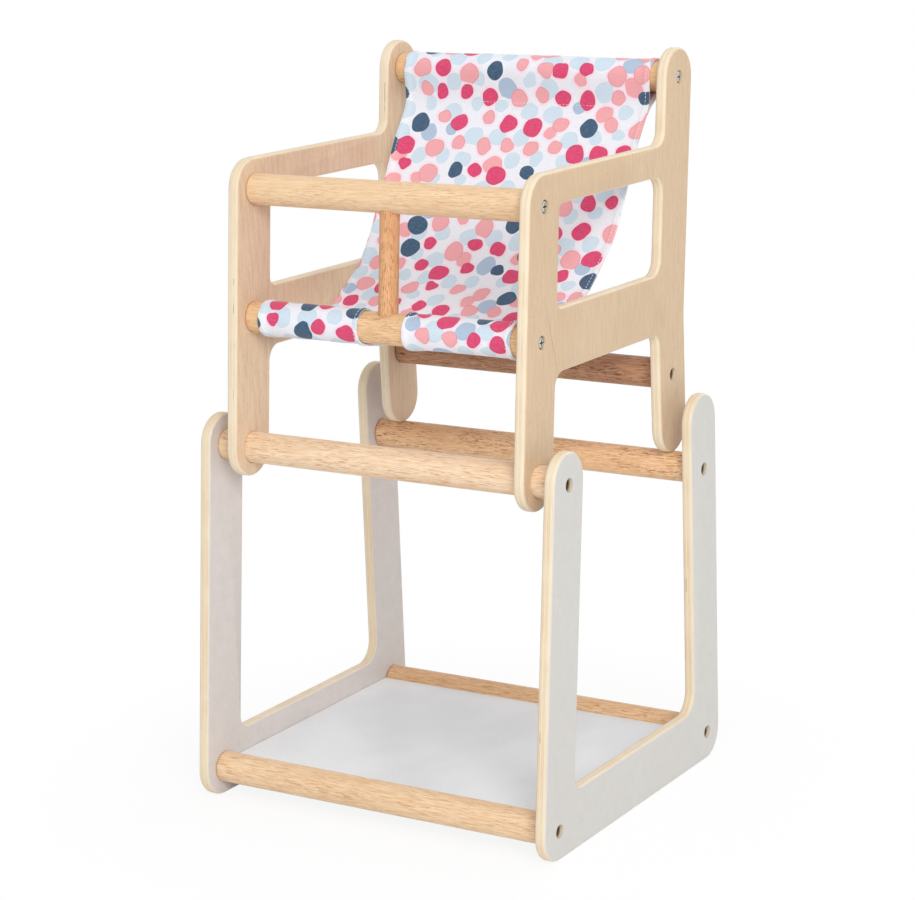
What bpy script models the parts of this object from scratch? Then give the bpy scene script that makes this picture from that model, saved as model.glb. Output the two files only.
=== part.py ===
"""Doll high chair: a plywood doll's chair that hinges on a lower plywood frame.

The chair has two plywood sides held apart by dowels, with a cloth sling for a seat. Its front feet
turn on the pivot dowel of the frame below, and its rear feet rest on the frame's rest dowel.
Tipped over the front, the frame and its board become a table in front of the chair.
Lengths are in metres. X runs across the chair, -Y is its front and Z is up; Z = 0 is the floor.
"""

import math

import bmesh
import bpy
from mathutils import Matrix, Vector

MM = 0.001

# Plywood, dowels and fits that both frames share
CLEARANCE = 0.3 * MM
CUT_OVERRUN = 1.0 * MM
WELD_DISTANCE = 0.01 * MM
PLY_THICKNESS = 9.0 * MM
LIMB_WIDTH = 45.0 * MM
DOWEL_DIAMETER = 24.0 * MM
EDGE_ROUND = 2.0 * MM
EDGE_ROUND_STEPS = 2
DOWEL_SIDES = 32
ARC_STEP = math.radians(11.25)
FLAT_ANGLE = math.radians(0.5)
SHARP_ANGLE = math.radians(40)

# Lower frame
BASE_WIDTH = 310.0 * MM
BASE_DEPTH = 294.0 * MM
BASE_HEIGHT = 303.7 * MM
PIVOT_INSET = 24.4 * MM
BASE_FRONT_LEAN = math.radians(4.42)
BASE_REAR_LEAN = math.radians(1.7)
BASE_RAIL_HEIGHT = 46.5 * MM
BASE_FRONT_INNER_RADIUS = 9.0 * MM
BASE_REAR_INNER_RADIUS = 17.0 * MM

# Board between the bottom dowels
BOARD_THICKNESS = 9.0 * MM
BOARD_TONGUE_THICKNESS = 6.0 * MM
BOARD_GROOVE_DEPTH = 5.0 * MM
BOARD_EDGE_ROUND = 0.6 * MM

# Chair sides, with heights above the chair's feet
CHAIR_SIDE_GAP = 16.0 * MM
CHAIR_HEIGHT = 315.2 * MM
CHAIR_LEAN = math.radians(4.15)
REAR_FOOT_DROP = 1.7 * MM
REAR_LEG_SPLAY = math.radians(2.6)
REAR_BEND_HEIGHT = 107.0 * MM
REAR_BEND_RADIUS = 70.0 * MM
REST_OFFSET = 2.9 * MM
SEAT_PANEL_CLEAR_HEIGHT = 96.4 * MM
SEAT_PANEL_DEPTH = 47.4 * MM
WINDOW_HEIGHT = 75.1 * MM
ARMREST_DEPTH = 24.6 * MM
ARMREST_CORNER_RADIUS = 23.0 * MM
POST_FILLET_RADIUS = 11.0 * MM
WINDOW_FRONT_RADIUS = 6.0 * MM
WINDOW_REAR_RADIUS = 12.5 * MM
SEAT_PANEL_FRONT_RADIUS = 12.5 * MM
SEAT_PANEL_REAR_RADIUS = 9.0 * MM

# Chair dowels
ARMREST_DOWEL_INSET = 23.7 * MM
SEAT_DOWEL_RISE = 26.5 * MM
CROSSBAR_HEIGHT = 61.2 * MM
CROTCH_DOWEL_DIAMETER = 15.0 * MM
CROTCH_SOCKET_DEPTH = 7.0 * MM
CROTCH_DOWEL_SIDES = 24

# Screws
SCREW_SHANK_DIAMETER = 4.0 * MM
SCREW_LENGTH = 30.0 * MM
SCREW_POINT_LENGTH = 4.0 * MM
SCREW_HEAD_DIAMETER = 10.0 * MM
SCREW_HEAD_HEIGHT = 2.8 * MM
SCREW_HEAD_RIM_SHARE = 0.35
SCREW_HEAD_ARC_STEPS = 3
SCREW_SIDES = 16
CROSS_LENGTH = 5.2 * MM
CROSS_WIDTH = 1.1 * MM
CROSS_DEPTH = 1.6 * MM
FLUSH_SEAT_DEPTH = 3.2 * MM
DEEP_SEAT_DEPTH = 6.4 * MM
PILOT_DEPTH = 28.0 * MM
HOLE_SIDES = 24

# Cloth sling
CLOTH_THICKNESS = 1.6 * MM
SLING_SIDE_GAP = 12.5 * MM
SLING_NOTCH_WIDTH = 39.0 * MM
SLING_NOTCH_ROUND = 3.0 * MM
SLING_POCKET_STEPS = 20
SLING_SPAN_STEPS = 20
# Places along the hanging cloth, as shares of the way back and up from the seat dowel to the backrest dowel
SLING_ROUTE_SHARES = (
    (0.901, 0.803),
    (0.858, 0.693),
    (0.819, 0.597),
    (0.747, 0.429),
    (0.664, 0.267),
    (0.565, 0.134),
    (0.448, 0.031),
    (0.322, -0.057),
    (0.214, -0.104),
    (0.141, -0.098),
)

# Heights and places worked out from the sizes above
DOWEL_RADIUS = DOWEL_DIAMETER / 2
LIMB_RADIUS = LIMB_WIDTH / 2
BASE_SIDE_X = BASE_WIDTH / 2 - PLY_THICKNESS / 2
BASE_INNER_X = BASE_WIDTH / 2 - PLY_THICKNESS
CHAIR_OUTER_X = BASE_INNER_X - CHAIR_SIDE_GAP
CHAIR_SIDE_X = CHAIR_OUTER_X - PLY_THICKNESS / 2
CHAIR_INNER_X = CHAIR_OUTER_X - PLY_THICKNESS
SLING_HALF_WIDTH = CHAIR_INNER_X - SLING_SIDE_GAP
PIVOT_Z = BASE_HEIGHT - PIVOT_INSET
CHAIR_FEET_Z = PIVOT_Z - LIMB_RADIUS

SEAT_PANEL_BOTTOM_Z = CHAIR_FEET_Z + SEAT_PANEL_CLEAR_HEIGHT
WINDOW_BOTTOM_Z = SEAT_PANEL_BOTTOM_Z + SEAT_PANEL_DEPTH
WINDOW_TOP_Z = WINDOW_BOTTOM_Z + WINDOW_HEIGHT
ARMREST_TOP_Z = WINDOW_TOP_Z + ARMREST_DEPTH
POST_TOP_Z = CHAIR_FEET_Z + CHAIR_HEIGHT
BEND_Z = CHAIR_FEET_Z + REAR_BEND_HEIGHT

COLLECTION_NAME = "doll_high_chair"
CUTTER_COLLECTION_NAME = "cutters"

# Colour, roughness and metallic value of each kind of piece
FINISHES = {
    "chair_ply": ((0.73, 0.55, 0.37, 1.0), 0.5, 0.0),
    "base_laminate": ((0.67, 0.64, 0.61, 1.0), 0.4, 0.0),
    "board_laminate": ((0.70, 0.72, 0.74, 1.0), 0.4, 0.0),
    "dowel_wood": ((0.80, 0.58, 0.33, 1.0), 0.5, 0.0),
    "crotch_wood": ((0.68, 0.42, 0.22, 1.0), 0.5, 0.0),
    "screw_steel": ((0.62, 0.61, 0.58, 1.0), 0.25, 1.0),
    "printed_cloth": ((0.86, 0.68, 0.74, 1.0), 0.9, 0.0),
}


def limb_line(point, lean):
    """The line of a leaning limb's middle: a point on it and its step back for each unit of rise."""
    return point, math.tan(lean)


def line_y(line, z, offset=0.0):
    """Where a limb's line, or the line offset square to it towards the rear, stands at a height."""
    (y_start, z_start), slope = line
    return y_start + slope * (z - z_start) + offset * math.hypot(1, slope)


BOTTOM_DOWEL_Z = LIMB_RADIUS
BASE_FRONT_LINE = limb_line((-BASE_DEPTH / 2 + LIMB_RADIUS, BOTTOM_DOWEL_Z), BASE_FRONT_LEAN)
BASE_REAR_LINE = limb_line((BASE_DEPTH / 2 - LIMB_RADIUS, BOTTOM_DOWEL_Z), -BASE_REAR_LEAN)
REST_REACH = LIMB_RADIUS + DOWEL_RADIUS + CLEARANCE
REAR_FOOT_Z = PIVOT_Z - REAR_FOOT_DROP
REST_Z = REAR_FOOT_Z - math.sqrt(REST_REACH**2 - REST_OFFSET**2)

PIVOT = (line_y(BASE_FRONT_LINE, PIVOT_Z), PIVOT_Z)
REST = (line_y(BASE_REAR_LINE, REST_Z), REST_Z)
BOTTOM_FRONT = (line_y(BASE_FRONT_LINE, BOTTOM_DOWEL_Z), BOTTOM_DOWEL_Z)
BOTTOM_REAR = (line_y(BASE_REAR_LINE, BOTTOM_DOWEL_Z), BOTTOM_DOWEL_Z)

CHAIR_FRONT_LINE = limb_line(PIVOT, CHAIR_LEAN)
REAR_FOOT = (REST[0] - REST_OFFSET, REAR_FOOT_Z)
CHAIR_REAR_LEG_LINE = limb_line(REAR_FOOT, -REAR_LEG_SPLAY)
CHAIR_POST_LINE = limb_line((line_y(CHAIR_REAR_LEG_LINE, BEND_Z), BEND_Z), CHAIR_LEAN)

BACKREST_Z = POST_TOP_Z - LIMB_RADIUS
ARMREST_Z = ARMREST_TOP_Z - ARMREST_DOWEL_INSET
SEAT_Z = SEAT_PANEL_BOTTOM_Z + SEAT_DOWEL_RISE
CROSSBAR_Z = CHAIR_FEET_Z + CROSSBAR_HEIGHT
BACKREST = (line_y(CHAIR_POST_LINE, BACKREST_Z), BACKREST_Z)
ARMREST = (line_y(CHAIR_FRONT_LINE, ARMREST_Z), ARMREST_Z)
SEAT = (line_y(CHAIR_FRONT_LINE, SEAT_Z), SEAT_Z)
CROSSBAR = (line_y(CHAIR_REAR_LEG_LINE, CROSSBAR_Z), CROSSBAR_Z)


def clear_scene():
    """Removes every object, so that the script can run again."""
    for thing in list(bpy.data.objects):
        bpy.data.objects.remove(thing, do_unlink=True)


def new_collection(name):
    """An empty collection of this name in the scene."""
    old = bpy.data.collections.get(name)
    if old:
        bpy.data.collections.remove(old)
    made = bpy.data.collections.new(name)
    bpy.context.scene.collection.children.link(made)
    return made


def material(name, finish):
    """A material of the piece's own, with the finish of its kind."""
    color, roughness, metallic = FINISHES[finish]
    made = bpy.data.materials.get(name) or bpy.data.materials.new(name)
    made.use_nodes = True
    shader = made.node_tree.nodes["Principled BSDF"]
    shader.inputs["Base Color"].default_value = color
    shader.inputs["Roughness"].default_value = roughness
    shader.inputs["Metallic"].default_value = metallic
    made.diffuse_color = color
    return made


def add_piece(name, mesh, finish, collection, body):
    """Puts a named piece in the part's collection, under the empty of the body that carries it."""
    piece = bpy.data.objects.new(name, mesh)
    collection.objects.link(piece)
    if not mesh.materials:
        mesh.materials.append(None)
    piece.material_slots[0].link = "OBJECT"
    piece.material_slots[0].material = material(name, finish)
    piece.parent = body
    piece.matrix_parent_inverse = body.matrix_world.inverted()
    return piece


def add_cutter(name, mesh, collection, place):
    """A cutter: kept as a wire shape that doesn't render."""
    cutter = bpy.data.objects.new(name, mesh)
    cutter.matrix_world = place
    cutter.hide_render = True
    cutter.display_type = "WIRE"
    collection.objects.link(cutter)
    return cutter


def cut(piece, cutter):
    """Takes a cutter out of a piece."""
    modifier = piece.modifiers.new(cutter.name, "BOOLEAN")
    modifier.operation = "DIFFERENCE"
    modifier.solver = "EXACT"
    modifier.object = cutter


def smooth(mesh):
    """Smooth shading with the edges kept sharp."""
    mesh.shade_smooth()
    mesh.set_sharp_from_angle(angle=SHARP_ANGLE)
    return mesh


def fillet(before, corner, after, radius):
    """The arc that rounds one corner of an outline, as points."""
    corner = Vector(corner)
    towards = (Vector(before) - corner).normalized()
    onwards = (Vector(after) - corner).normalized()
    half_angle = towards.angle(onwards) / 2
    centre = corner + (towards + onwards).normalized() * (radius / math.sin(half_angle))
    start = corner + towards * (radius / math.tan(half_angle)) - centre
    turn = start.angle_signed(corner + onwards * (radius / math.tan(half_angle)) - centre)
    steps = max(1, math.ceil(abs(turn) / ARC_STEP))
    return [centre + Matrix.Rotation(-turn * step / steps, 2) @ start for step in range(steps + 1)]


def rounded_outline(corners):
    """A closed outline from corners, each given as (y, z, radius), with a radius of 0 for a sharp one."""
    points = []
    count = len(corners)
    for index, (y, z, radius) in enumerate(corners):
        before = corners[index - 1][:2]
        after = corners[(index + 1) % count][:2]
        for point in fillet(before, (y, z), after, radius) if radius else [Vector((y, z))]:
            if not points or (point - points[-1]).length > WELD_DISTANCE:
                points.append(point)
    if (points[0] - points[-1]).length < WELD_DISTANCE:
        points.pop()
    return points


def plate_mesh(name, outlines, thickness, edge_round):
    """A flat plate centred on X = 0: the first outline is its outside and the rest are its openings."""
    curve = bpy.data.curves.new(name, "CURVE")
    curve.dimensions = "2D"
    curve.fill_mode = "BOTH"
    curve.extrude = thickness / 2 - edge_round
    curve.bevel_depth = edge_round
    curve.bevel_resolution = EDGE_ROUND_STEPS - 1
    curve.offset = -edge_round
    for outline in outlines:
        spline = curve.splines.new("POLY")
        spline.points.add(len(outline) - 1)
        for point, (y, z) in zip(spline.points, outline):
            point.co = (y, z, 0.0, 1.0)
        spline.use_cyclic_u = True
    guide = bpy.data.objects.new(name, curve)
    guide.matrix_world = Matrix(((0, 0, 1, 0), (1, 0, 0, 0), (0, 1, 0, 0), (0, 0, 0, 1)))
    bpy.context.scene.collection.objects.link(guide)
    bpy.context.view_layer.update()
    mesh = bpy.data.meshes.new_from_object(guide.evaluated_get(bpy.context.evaluated_depsgraph_get()))
    mesh.transform(guide.matrix_world)
    bpy.data.objects.remove(guide)
    bpy.data.curves.remove(curve)
    shell = bmesh.new()
    shell.from_mesh(mesh)
    bmesh.ops.remove_doubles(shell, verts=shell.verts, dist=WELD_DISTANCE)
    bmesh.ops.recalc_face_normals(shell, faces=shell.faces)
    bmesh.ops.dissolve_limit(shell, angle_limit=FLAT_ANGLE, verts=shell.verts, edges=shell.edges)
    shell.to_mesh(mesh)
    shell.free()
    mesh.name = name
    mesh.materials.clear()
    return smooth(mesh)


def rod_mesh(name, diameter, length, sides):
    """A round rod along X, centred on the origin."""
    rod = bmesh.new()
    bmesh.ops.create_cone(
        rod,
        cap_ends=True,
        segments=sides,
        radius1=diameter / 2,
        radius2=diameter / 2,
        depth=length,
        matrix=Matrix.Rotation(math.radians(90), 4, "Y"),
    )
    mesh = bpy.data.meshes.new(name)
    rod.to_mesh(mesh)
    rod.free()
    return smooth(mesh)


def box_mesh(name, size):
    """A box of this size, centred on the origin."""
    box = bmesh.new()
    bmesh.ops.create_cube(box, size=1.0, matrix=Matrix.Diagonal((*size, 1.0)))
    mesh = bpy.data.meshes.new(name)
    box.to_mesh(mesh)
    box.free()
    return mesh


def turned_mesh(name, profile, sides, collection):
    """A solid turned about X from a profile of (distance along X, radius) points, ends on the axis."""
    mesh = bpy.data.meshes.new(name)
    points = [(along, radius, 0.0) for along, radius in profile]
    mesh.from_pydata(points, [(index, index + 1) for index in range(len(points) - 1)], [])
    turned = bpy.data.objects.new(name, mesh)
    collection.objects.link(turned)
    screw = turned.modifiers.new("turn", "SCREW")
    screw.axis = "X"
    screw.steps = sides
    screw.render_steps = sides
    screw.use_merge_vertices = True
    screw.merge_threshold = WELD_DISTANCE
    bpy.context.view_layer.update()
    solid = bpy.data.meshes.new_from_object(turned.evaluated_get(bpy.context.evaluated_depsgraph_get()))
    bpy.data.objects.remove(turned)
    shell = bmesh.new()
    shell.from_mesh(solid)
    bmesh.ops.remove_doubles(shell, verts=shell.verts, dist=WELD_DISTANCE)
    bmesh.ops.recalc_face_normals(shell, faces=shell.faces)
    shell.to_mesh(solid)
    shell.free()
    solid.name = name
    return smooth(solid)


def at(x, place):
    """The world place of a piece that lies along X, from its X and its (y, z)."""
    return Matrix.Translation((x, place[0], place[1]))


def facing(sign):
    """The turn that points a shape made for the right side outwards on this side."""
    return Matrix.Rotation(0.0 if sign > 0 else math.pi, 4, "Z")


def base_side_outline():
    """The open-topped U of a lower side: two round-topped legs on a bottom rail."""
    top = BASE_HEIGHT
    rail = BASE_RAIL_HEIGHT
    return rounded_outline(
        (
            (line_y(BASE_FRONT_LINE, 0.0, -LIMB_RADIUS), 0.0, LIMB_RADIUS),
            (line_y(BASE_REAR_LINE, 0.0, LIMB_RADIUS), 0.0, LIMB_RADIUS),
            (line_y(BASE_REAR_LINE, top, LIMB_RADIUS), top, LIMB_RADIUS),
            (line_y(BASE_REAR_LINE, top, -LIMB_RADIUS), top, LIMB_RADIUS),
            (line_y(BASE_REAR_LINE, rail, -LIMB_RADIUS), rail, BASE_REAR_INNER_RADIUS),
            (line_y(BASE_FRONT_LINE, rail, LIMB_RADIUS), rail, BASE_FRONT_INNER_RADIUS),
            (line_y(BASE_FRONT_LINE, top, LIMB_RADIUS), top, LIMB_RADIUS),
            (line_y(BASE_FRONT_LINE, top, -LIMB_RADIUS), top, LIMB_RADIUS),
        )
    )


def board_outline():
    """The board seen from the side: a thinner tongue runs into each dowel's groove."""
    face = BOARD_THICKNESS / 2
    tongue = BOARD_TONGUE_THICKNESS / 2
    tip = DOWEL_RADIUS - BOARD_GROOVE_DEPTH + CLEARANCE
    shoulder = math.sqrt(DOWEL_RADIUS**2 - tongue**2) + CLEARANCE
    half = ((tip, tongue, 0.0), (shoulder, tongue, 0.0), (shoulder, face, BOARD_EDGE_ROUND))
    front_y, rear_y, z = BOTTOM_FRONT[0], BOTTOM_REAR[0], BOTTOM_DOWEL_Z
    corners = [(front_y + inset, z + up, radius) for inset, up, radius in half]
    corners += [(rear_y - inset, z + up, radius) for inset, up, radius in reversed(half)]
    corners += [(rear_y - inset, z - up, radius) for inset, up, radius in half]
    corners += [(front_y + inset, z - up, radius) for inset, up, radius in reversed(half)]
    return rounded_outline(corners)


def rear_edge_bend():
    """Where the rear edges of the rear leg and of the post above it meet."""
    leg_slope = CHAIR_REAR_LEG_LINE[1]
    post_slope = CHAIR_POST_LINE[1]
    leg_y = line_y(CHAIR_REAR_LEG_LINE, BEND_Z, LIMB_RADIUS)
    post_y = line_y(CHAIR_POST_LINE, BEND_Z, LIMB_RADIUS)
    rise = (leg_y - post_y) / (post_slope - leg_slope)
    return leg_y + leg_slope * rise, BEND_Z + rise


def chair_side_outline():
    """The chair's side: two legs, a deep seat panel, an armrest beam and a tall rear post."""
    feet = CHAIR_FEET_Z
    rear_feet = CHAIR_FEET_Z - REAR_FOOT_DROP
    under_seat = SEAT_PANEL_BOTTOM_Z
    bend_y, bend_z = rear_edge_bend()
    return rounded_outline(
        (
            (line_y(CHAIR_FRONT_LINE, feet, -LIMB_RADIUS), feet, LIMB_RADIUS),
            (line_y(CHAIR_FRONT_LINE, feet, LIMB_RADIUS), feet, LIMB_RADIUS),
            (line_y(CHAIR_FRONT_LINE, under_seat, LIMB_RADIUS), under_seat, SEAT_PANEL_FRONT_RADIUS),
            (line_y(CHAIR_REAR_LEG_LINE, under_seat, -LIMB_RADIUS), under_seat, SEAT_PANEL_REAR_RADIUS),
            (line_y(CHAIR_REAR_LEG_LINE, rear_feet, -LIMB_RADIUS), rear_feet, LIMB_RADIUS),
            (line_y(CHAIR_REAR_LEG_LINE, rear_feet, LIMB_RADIUS), rear_feet, LIMB_RADIUS),
            (bend_y, bend_z, REAR_BEND_RADIUS),
            (line_y(CHAIR_POST_LINE, POST_TOP_Z, LIMB_RADIUS), POST_TOP_Z, LIMB_RADIUS),
            (line_y(CHAIR_POST_LINE, POST_TOP_Z, -LIMB_RADIUS), POST_TOP_Z, LIMB_RADIUS),
            (line_y(CHAIR_POST_LINE, ARMREST_TOP_Z, -LIMB_RADIUS), ARMREST_TOP_Z, POST_FILLET_RADIUS),
            (line_y(CHAIR_FRONT_LINE, ARMREST_TOP_Z, -LIMB_RADIUS), ARMREST_TOP_Z, ARMREST_CORNER_RADIUS),
        )
    )


def chair_window_outline():
    """The opening between seat panel and armrest, wound against the side's outline."""
    return rounded_outline(
        (
            (line_y(CHAIR_FRONT_LINE, WINDOW_BOTTOM_Z, LIMB_RADIUS), WINDOW_BOTTOM_Z, WINDOW_FRONT_RADIUS),
            (line_y(CHAIR_FRONT_LINE, WINDOW_TOP_Z, LIMB_RADIUS), WINDOW_TOP_Z, WINDOW_FRONT_RADIUS),
            (line_y(CHAIR_POST_LINE, WINDOW_TOP_Z, -LIMB_RADIUS), WINDOW_TOP_Z, WINDOW_REAR_RADIUS),
            (line_y(CHAIR_POST_LINE, WINDOW_BOTTOM_Z, -LIMB_RADIUS), WINDOW_BOTTOM_Z, WINDOW_REAR_RADIUS),
        )
    )


def screw_hole_profile(seat_depth):
    """A stepped hole through a side, from outside the outer face at X = 0 inwards."""
    head_radius = SCREW_HEAD_DIAMETER / 2 + CLEARANCE
    shank_radius = SCREW_SHANK_DIAMETER / 2 + CLEARANCE
    return (
        (CUT_OVERRUN, 0.0),
        (CUT_OVERRUN, head_radius),
        (-seat_depth, head_radius),
        (-seat_depth, shank_radius),
        (-PLY_THICKNESS - CUT_OVERRUN, shank_radius),
        (-PLY_THICKNESS - CUT_OVERRUN, 0.0),
    )


def screw_profile():
    """A domed head over a straight shank with a point, the head's underside at X = 0."""
    head_radius = SCREW_HEAD_DIAMETER / 2
    shank_radius = SCREW_SHANK_DIAMETER / 2
    rim = SCREW_HEAD_HEIGHT * SCREW_HEAD_RIM_SHARE
    dome = SCREW_HEAD_HEIGHT - rim
    profile = [(SCREW_HEAD_HEIGHT, 0.0)]
    for step in range(1, SCREW_HEAD_ARC_STEPS + 1):
        angle = math.pi / 2 * step / SCREW_HEAD_ARC_STEPS
        profile.append((rim + dome * math.cos(angle), head_radius * math.sin(angle)))
    profile += [
        (0.0, head_radius),
        (0.0, shank_radius),
        (-SCREW_LENGTH + SCREW_POINT_LENGTH, shank_radius),
        (-SCREW_LENGTH, 0.0),
    ]
    return profile


def screw_mesh(collection):
    """One cross-head screw, shared by every screw of the part."""
    mesh = turned_mesh("screw", screw_profile(), SCREW_SIDES, collection)
    blank = bpy.data.objects.new("screw_blank", mesh)
    collection.objects.link(blank)
    recess_middle = at(SCREW_HEAD_HEIGHT, (0.0, 0.0))
    for name, across, up in (("slot_a", CROSS_LENGTH, CROSS_WIDTH), ("slot_b", CROSS_WIDTH, CROSS_LENGTH)):
        slot = add_cutter(name, box_mesh(name, (2 * CROSS_DEPTH, across, up)), collection, recess_middle)
        cut(blank, slot)
    bpy.context.view_layer.update()
    solid = bpy.data.meshes.new_from_object(blank.evaluated_get(bpy.context.evaluated_depsgraph_get()))
    bpy.data.objects.remove(blank)
    solid.name = "cross_head_screw"
    return smooth(solid)


def drill_side(side, name, sign, outer_x, holes, hole_meshes, cutters):
    """Drills a side's screw holes from its outer face; holes is name to ((y, z), kind of seat)."""
    for hole, (place, kind) in holes.items():
        mouth = at(sign * outer_x, place) @ facing(sign)
        cut(side, add_cutter(f"{name}_{hole}_hole", hole_meshes[kind], cutters, mouth))


def pilot_holes(name, length, pilot_mesh, piece, place, cutters):
    """Drills both ends of a dowel for the screws' shanks."""
    for side, sign in (("left", -1), ("right", 1)):
        cutter = add_cutter(f"{name}_pilot_{side}", pilot_mesh, cutters, at(sign * length / 2, place))
        cut(piece, cutter)


def circle_tangents(centre, radius, point):
    """The angles, seen from the centre, of the two tangents from a point to a circle."""
    away = Vector(point) - Vector(centre)
    middle = math.atan2(away.y, away.x)
    spread = math.acos(radius / away.length)
    return middle + spread, middle - spread


def wrap(centre, radius, start_angle, end_angle):
    """Points round a circle from one angle to the other, the way the angle grows."""
    while end_angle < start_angle:
        end_angle += 2 * math.pi
    turn = (end_angle - start_angle) / SLING_POCKET_STEPS
    angles = [start_angle + turn * step for step in range(SLING_POCKET_STEPS + 1)]
    return [Vector(centre) + radius * Vector((math.cos(angle), math.sin(angle))) for angle in angles]


def curve_through(a, b, c, d, share):
    """A point between b and c on the smooth curve through four points in a row."""
    level = 2 * b
    first = (c - a) * share
    second = (2 * a - 5 * b + 4 * c - d) * share**2
    third = (3 * b - a - 3 * c + d) * share**3
    return (level + first + second + third) / 2


def sling_route():
    """The middle of the hanging cloth, from the backrest pocket's seam to the seat pocket's."""
    knots = [
        Vector((SEAT[0] + back * (BACKREST[0] - SEAT[0]), SEAT[1] + rise * (BACKREST[1] - SEAT[1])))
        for back, rise in SLING_ROUTE_SHARES
    ]
    knots = [2 * knots[0] - knots[1]] + knots + [2 * knots[-1] - knots[-2]]
    spans = len(knots) - 3
    route = []
    for step in range(SLING_SPAN_STEPS + 1):
        along = step / SLING_SPAN_STEPS * spans
        first = min(int(along), spans - 1)
        route.append(curve_through(*knots[first : first + 4], along - first))
    return route


def sling_outlines():
    """The cloth seen from the side: its outside, and the bores of its two pockets."""
    route = sling_route()
    half = CLOTH_THICKNESS / 2
    under, upper = [], []
    for index, point in enumerate(route):
        ahead = route[min(index + 1, len(route) - 1)] - route[max(index - 1, 0)]
        square = Vector((-ahead.y, ahead.x)).normalized() * half
        upper.append(point - square)
        under.append(point + square)
    bore = (DOWEL_RADIUS + CLEARANCE) / math.cos(math.pi / SLING_POCKET_STEPS)
    skin = bore + CLOTH_THICKNESS
    top_front = circle_tangents(BACKREST, skin, upper[0])[1]
    top_rear = circle_tangents(BACKREST, skin, under[0])[0]
    seat_top = circle_tangents(SEAT, skin, upper[-1])[0]
    seat_under = circle_tangents(SEAT, skin, under[-1])[1]
    outside = wrap(BACKREST, skin, top_rear, top_front) + upper + wrap(SEAT, skin, seat_top, seat_under)
    outside += under[::-1]
    bores = []
    for centre, seam in ((BACKREST, route[0]), (SEAT, route[-1])):
        centre = Vector(centre)
        apex = seam + (centre - seam).normalized() * CLOTH_THICKNESS
        first, last = circle_tangents(centre, bore, apex)
        bores.append((wrap(centre, bore, first, last) + [apex])[::-1])
    return outside, bores


def build_base(parts, cutters, hole_meshes, body):
    """The lower frame: two sides, four dowels and the board."""
    dowels = {
        "pivot_dowel": PIVOT,
        "rear_rest_dowel": REST,
        "bottom_front_dowel": BOTTOM_FRONT,
        "bottom_rear_dowel": BOTTOM_REAR,
    }
    holes = {name: (place, "deep") for name, place in dowels.items()}
    outline = base_side_outline()
    for side, sign in (("left", -1), ("right", 1)):
        name = f"base_side_{side}"
        mesh = plate_mesh(name, (outline,), PLY_THICKNESS, EDGE_ROUND)
        piece = add_piece(name, mesh, "base_laminate", parts, body)
        piece.location.x = sign * BASE_SIDE_X
        drill_side(piece, name, sign, BASE_WIDTH / 2, holes, hole_meshes, cutters)

    length = 2 * (BASE_INNER_X - CLEARANCE)
    pieces = add_dowels(dowels, length, parts, cutters, hole_meshes, body)

    groove_floor = DOWEL_RADIUS - BOARD_GROOVE_DEPTH
    groove_size = (
        length + 2 * CUT_OVERRUN,
        BOARD_GROOVE_DEPTH + CUT_OVERRUN,
        BOARD_TONGUE_THICKNESS + 2 * CLEARANCE,
    )
    for name, towards in (("bottom_front_dowel", 1), ("bottom_rear_dowel", -1)):
        y, z = dowels[name]
        middle = y + towards * (groove_floor + groove_size[1] / 2)
        groove = add_cutter(f"{name}_groove", box_mesh("groove", groove_size), cutters, at(0.0, (middle, z)))
        cut(pieces[name], groove)
    board = plate_mesh("table_board", (board_outline(),), length, BOARD_EDGE_ROUND)
    add_piece("table_board", board, "board_laminate", parts, body)
    return holes


def add_dowels(dowels, length, parts, cutters, hole_meshes, body):
    """Dowels of one length, drilled at both ends."""
    pieces = {}
    for name, place in dowels.items():
        mesh = rod_mesh(name, DOWEL_DIAMETER, length, DOWEL_SIDES)
        piece = add_piece(name, mesh, "dowel_wood", parts, body)
        piece.location = (0.0, *place)
        pilot_holes(name, length, hole_meshes["pilot"], piece, place, cutters)
        pieces[name] = piece
    return pieces


def build_chair(parts, cutters, hole_meshes, body):
    """The chair: two sides, five dowels and the sling."""
    dowels = {
        "backrest_dowel": BACKREST,
        "armrest_dowel": ARMREST,
        "seat_front_dowel": SEAT,
        "rear_crossbar_dowel": CROSSBAR,
    }
    seats = {"rear_crossbar_dowel": "deep"}
    holes = {name: (place, seats.get(name, "flush")) for name, place in dowels.items()}
    outlines = (chair_side_outline(), chair_window_outline())
    bore_length = PLY_THICKNESS + 2 * CUT_OVERRUN
    pivot_bore = rod_mesh("pivot_bore", DOWEL_DIAMETER + 2 * CLEARANCE, bore_length, DOWEL_SIDES)
    for side, sign in (("left", -1), ("right", 1)):
        name = f"chair_side_{side}"
        mesh = plate_mesh(name, outlines, PLY_THICKNESS, EDGE_ROUND)
        piece = add_piece(name, mesh, "chair_ply", parts, body)
        piece.location.x = sign * CHAIR_SIDE_X
        drill_side(piece, name, sign, CHAIR_OUTER_X, holes, hole_meshes, cutters)
        cut(piece, add_cutter(f"{name}_pivot_bore", pivot_bore, cutters, at(sign * CHAIR_SIDE_X, PIVOT)))

    length = 2 * (CHAIR_INNER_X - CLEARANCE)
    pieces = add_dowels(dowels, length, parts, cutters, hole_meshes, body)
    add_crotch_dowel(pieces, parts, cutters, body)
    add_sling(parts, cutters, body)
    return holes


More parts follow.
